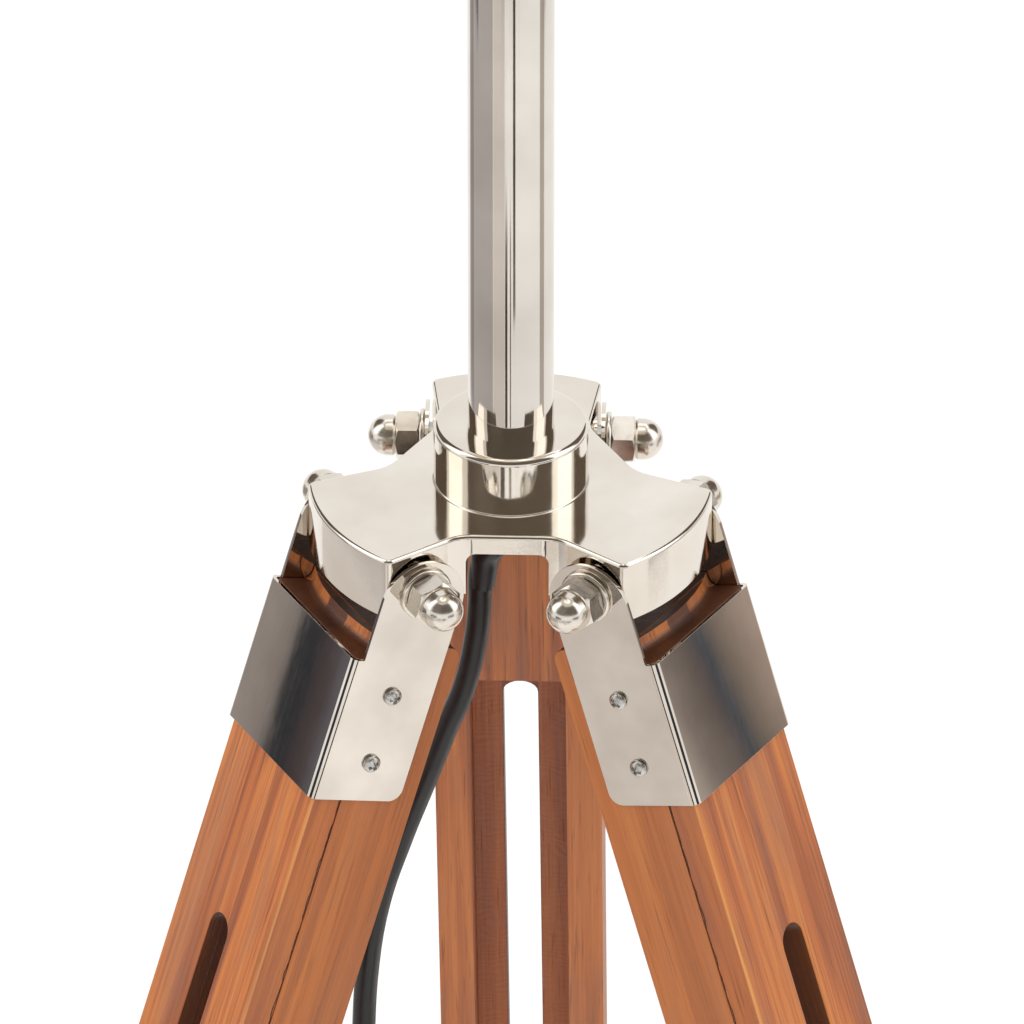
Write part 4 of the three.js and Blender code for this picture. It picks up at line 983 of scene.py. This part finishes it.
# Studio
print("studio")
studio = {"floor": "#F7F6F4", "world": 1.03}
scene = bpy.context.scene
scene.view_settings.view_transform = "Standard"
world = bpy.data.worlds.new("soft_white_room")
world.use_nodes = True
world.node_tree.nodes["Background"].inputs["Color"].default_value = linear("#FFFFFF")
world.node_tree.nodes["Background"].inputs["Strength"].default_value = studio["world"]
scene.world = world


def stagePiece(name, bm, colour, glow=None):
    made = meshObject(name, bm)
    finish, tree, shader = newFinish(f"{name}_paper", Roughness=0.9)
    shader.inputs["Base Color"].default_value = linear(colour)
    if glow:  # a card that glows by itself, shaded from one side to the other
        shader.inputs["Base Color"].default_value = (0, 0, 0, 1)
        shader.inputs["Specular IOR Level"].default_value = 0
        shader.inputs["Emission Strength"].default_value = glow["strength"]
        place = addNode(tree, "TexCoord").outputs["Object"]
        split = addNode(tree, "SeparateXYZ", {0: place})
        slanted = addNode(tree, "Math", {0: split.outputs[2], 1: glow["slant"], 2: split.outputs[1]},
                          operation="MULTIPLY_ADD")
        along = addNode(tree, "MapRange", {
            "Value": slanted, "From Min": glow["low"] * mm, "From Max": glow["high"] * mm})
        shaded = addNode(tree, "ValToRGB", {"Fac": along}, stops=glow["stops"])
        tree.links.new(shaded.outputs[0], shader.inputs["Emission Color"])
    made.data.materials.append(finish)
    return made


floorOutline = [(-4000, -4000), (4000, -4000), (4000, 4000), (-4000, 4000)]
stagePiece("pale_floor", prismMesh(floorOutline, -10, 0), studio["floor"])


def softLight(name, place, target, size, power, colour="#FFFFFF"):
    lamp = bpy.data.lights.new(name, "AREA")
    lamp.shape, lamp.size, lamp.energy, lamp.color = "DISK", size, power, linear(colour)[:3]
    holding = bpy.data.objects.new(name, lamp)
    holding.location = place
    holding.rotation_euler = (Vector(target) - Vector(place)).to_track_quat("-Z", "Y").to_euler()
    scene.collection.objects.link(holding)


softLight("key", (-1.6, -2.2, 2.6), (0, 0, 0.8), 1.6, 14)
softLight("fill", (2.4, -1.2, 2.0), (0, 0, 0.8), 1.8, 4)
softLight("top", (0.2, 0.6, 3.2), (0, 0, 0.6), 2.0, 8)


# Cards and softboxes that only the metal sees
def reflectionCard(name, corners, stops, strength=1.0, low=-3000, high=3000, slant=0.0):
    bm = bmesh.new()
    rows = [[bm.verts.new(corner) for corner in row] for row in corners]
    for start, end in zip(rows, rows[1:]):
        for k in range(len(start) - 1):
            bm.faces.new((start[k], start[k + 1], end[k + 1], end[k]))
    stops = [(0.0, stops), (1.0, stops)] if isinstance(stops, str) else stops
    card = stagePiece(name, bm, "#808080", {
        "stops": stops, "strength": strength, "low": low, "high": high, "slant": slant})
    card.visible_camera = card.visible_diffuse = card.visible_shadow = card.visible_transmission = False


def ringPoints(radius, start, end, height):  # azimuth 0 towards the camera, growing to its right
    return [(*turnedPoint(radius, 0, start + (end - start) * k / 12 - 90), height) for k in range(13)]


def onFloor(start, end, near, far, height=5):
    return [ringPoints(near, start, end, height), ringPoints(far, start, end, height)]


def wall(start, end, low, high, radius=2300):
    return [ringPoints(radius, start, end, low), ringPoints(radius, start, end, high)]


def sideCard(x, y0, y1, z0, z1):
    return [[(x, y0, z0), (x, y1, z0)], [(x, y0, z1), (x, y1, z1)]]


reflectionCard("left_flag", sideCard(-900, -20, 650, 480, 760),
               [(0.0, "#6A6A72"), (0.1, "#544B4E"), (0.3, "#4A4347"), (0.36, "#36393F"), (0.6, "#393C42"),
                (0.66, "#938C8A"), (1.0, "#A19B99")], low=-2, high=36, slant=-0.29)
reflectionCard("right_flag", sideCard(900, -60, 650, 480, 760),
               [(0.0, "#B8AEA6"), (0.16, "#8A8280"), (0.4, "#716765"), (0.54, "#4C5562"), (0.66, "#80766F"),
                (1.0, "#B4A49B")], low=62, high=110, slant=-0.10)
for side, start, end in (("left", -58, -27), ("right", 27, 58)):
    reflectionCard(f"{side}_fold_line", wall(start, end, 560, 790, 1250), "#3C3D42")
reflectionCard("front_fold_line", wall(-22, 22, 350, 470, 1250), "#4A4442")
for name, corners, tone in (
        ("left_floor_near", onFloor(-130, -48, 500, 1370), "#E4DFDC"),
        ("left_floor_far", onFloor(-135, -45, 1370, 3200), "#BFBAB9"),
        ("left_floor_band", onFloor(-128, -112, 1370, 3200, 7), "#A09A98"),
        ("centre_left_floor", onFloor(-44, -14, 1370, 3200, 6), "#E6DFD8"),
        ("line_far", onFloor(7, 13, 1560, 3200, 8), "#5A5048"),
        ("line_near", onFloor(-13, -7, 1200, 1640, 8), "#5A5048"),
        ("line_pair", onFloor(-1, 2, 1200, 1640, 8), "#8A8178"),
        ("right_floor_line", onFloor(82, 98, 1370, 3200, 8), "#C4BCB3"),
        ("front_dark", wall(-64, 64, 1250, 5200), "#6A625A"),
        ("left_back_dark", wall(-150, -108, 1250, 4200), "#6A5F55"),
        ("right_back_dark", wall(108, 150, 1250, 4200), "#6A5F55")):
    reflectionCard(name, corners, tone)
for side, start, end in (("left", -102, -74), ("right", 74, 102)):
    reflectionCard(f"{side}_softbox", wall(start, end, 1250, 5200), "#FFFFFF", 2.0)
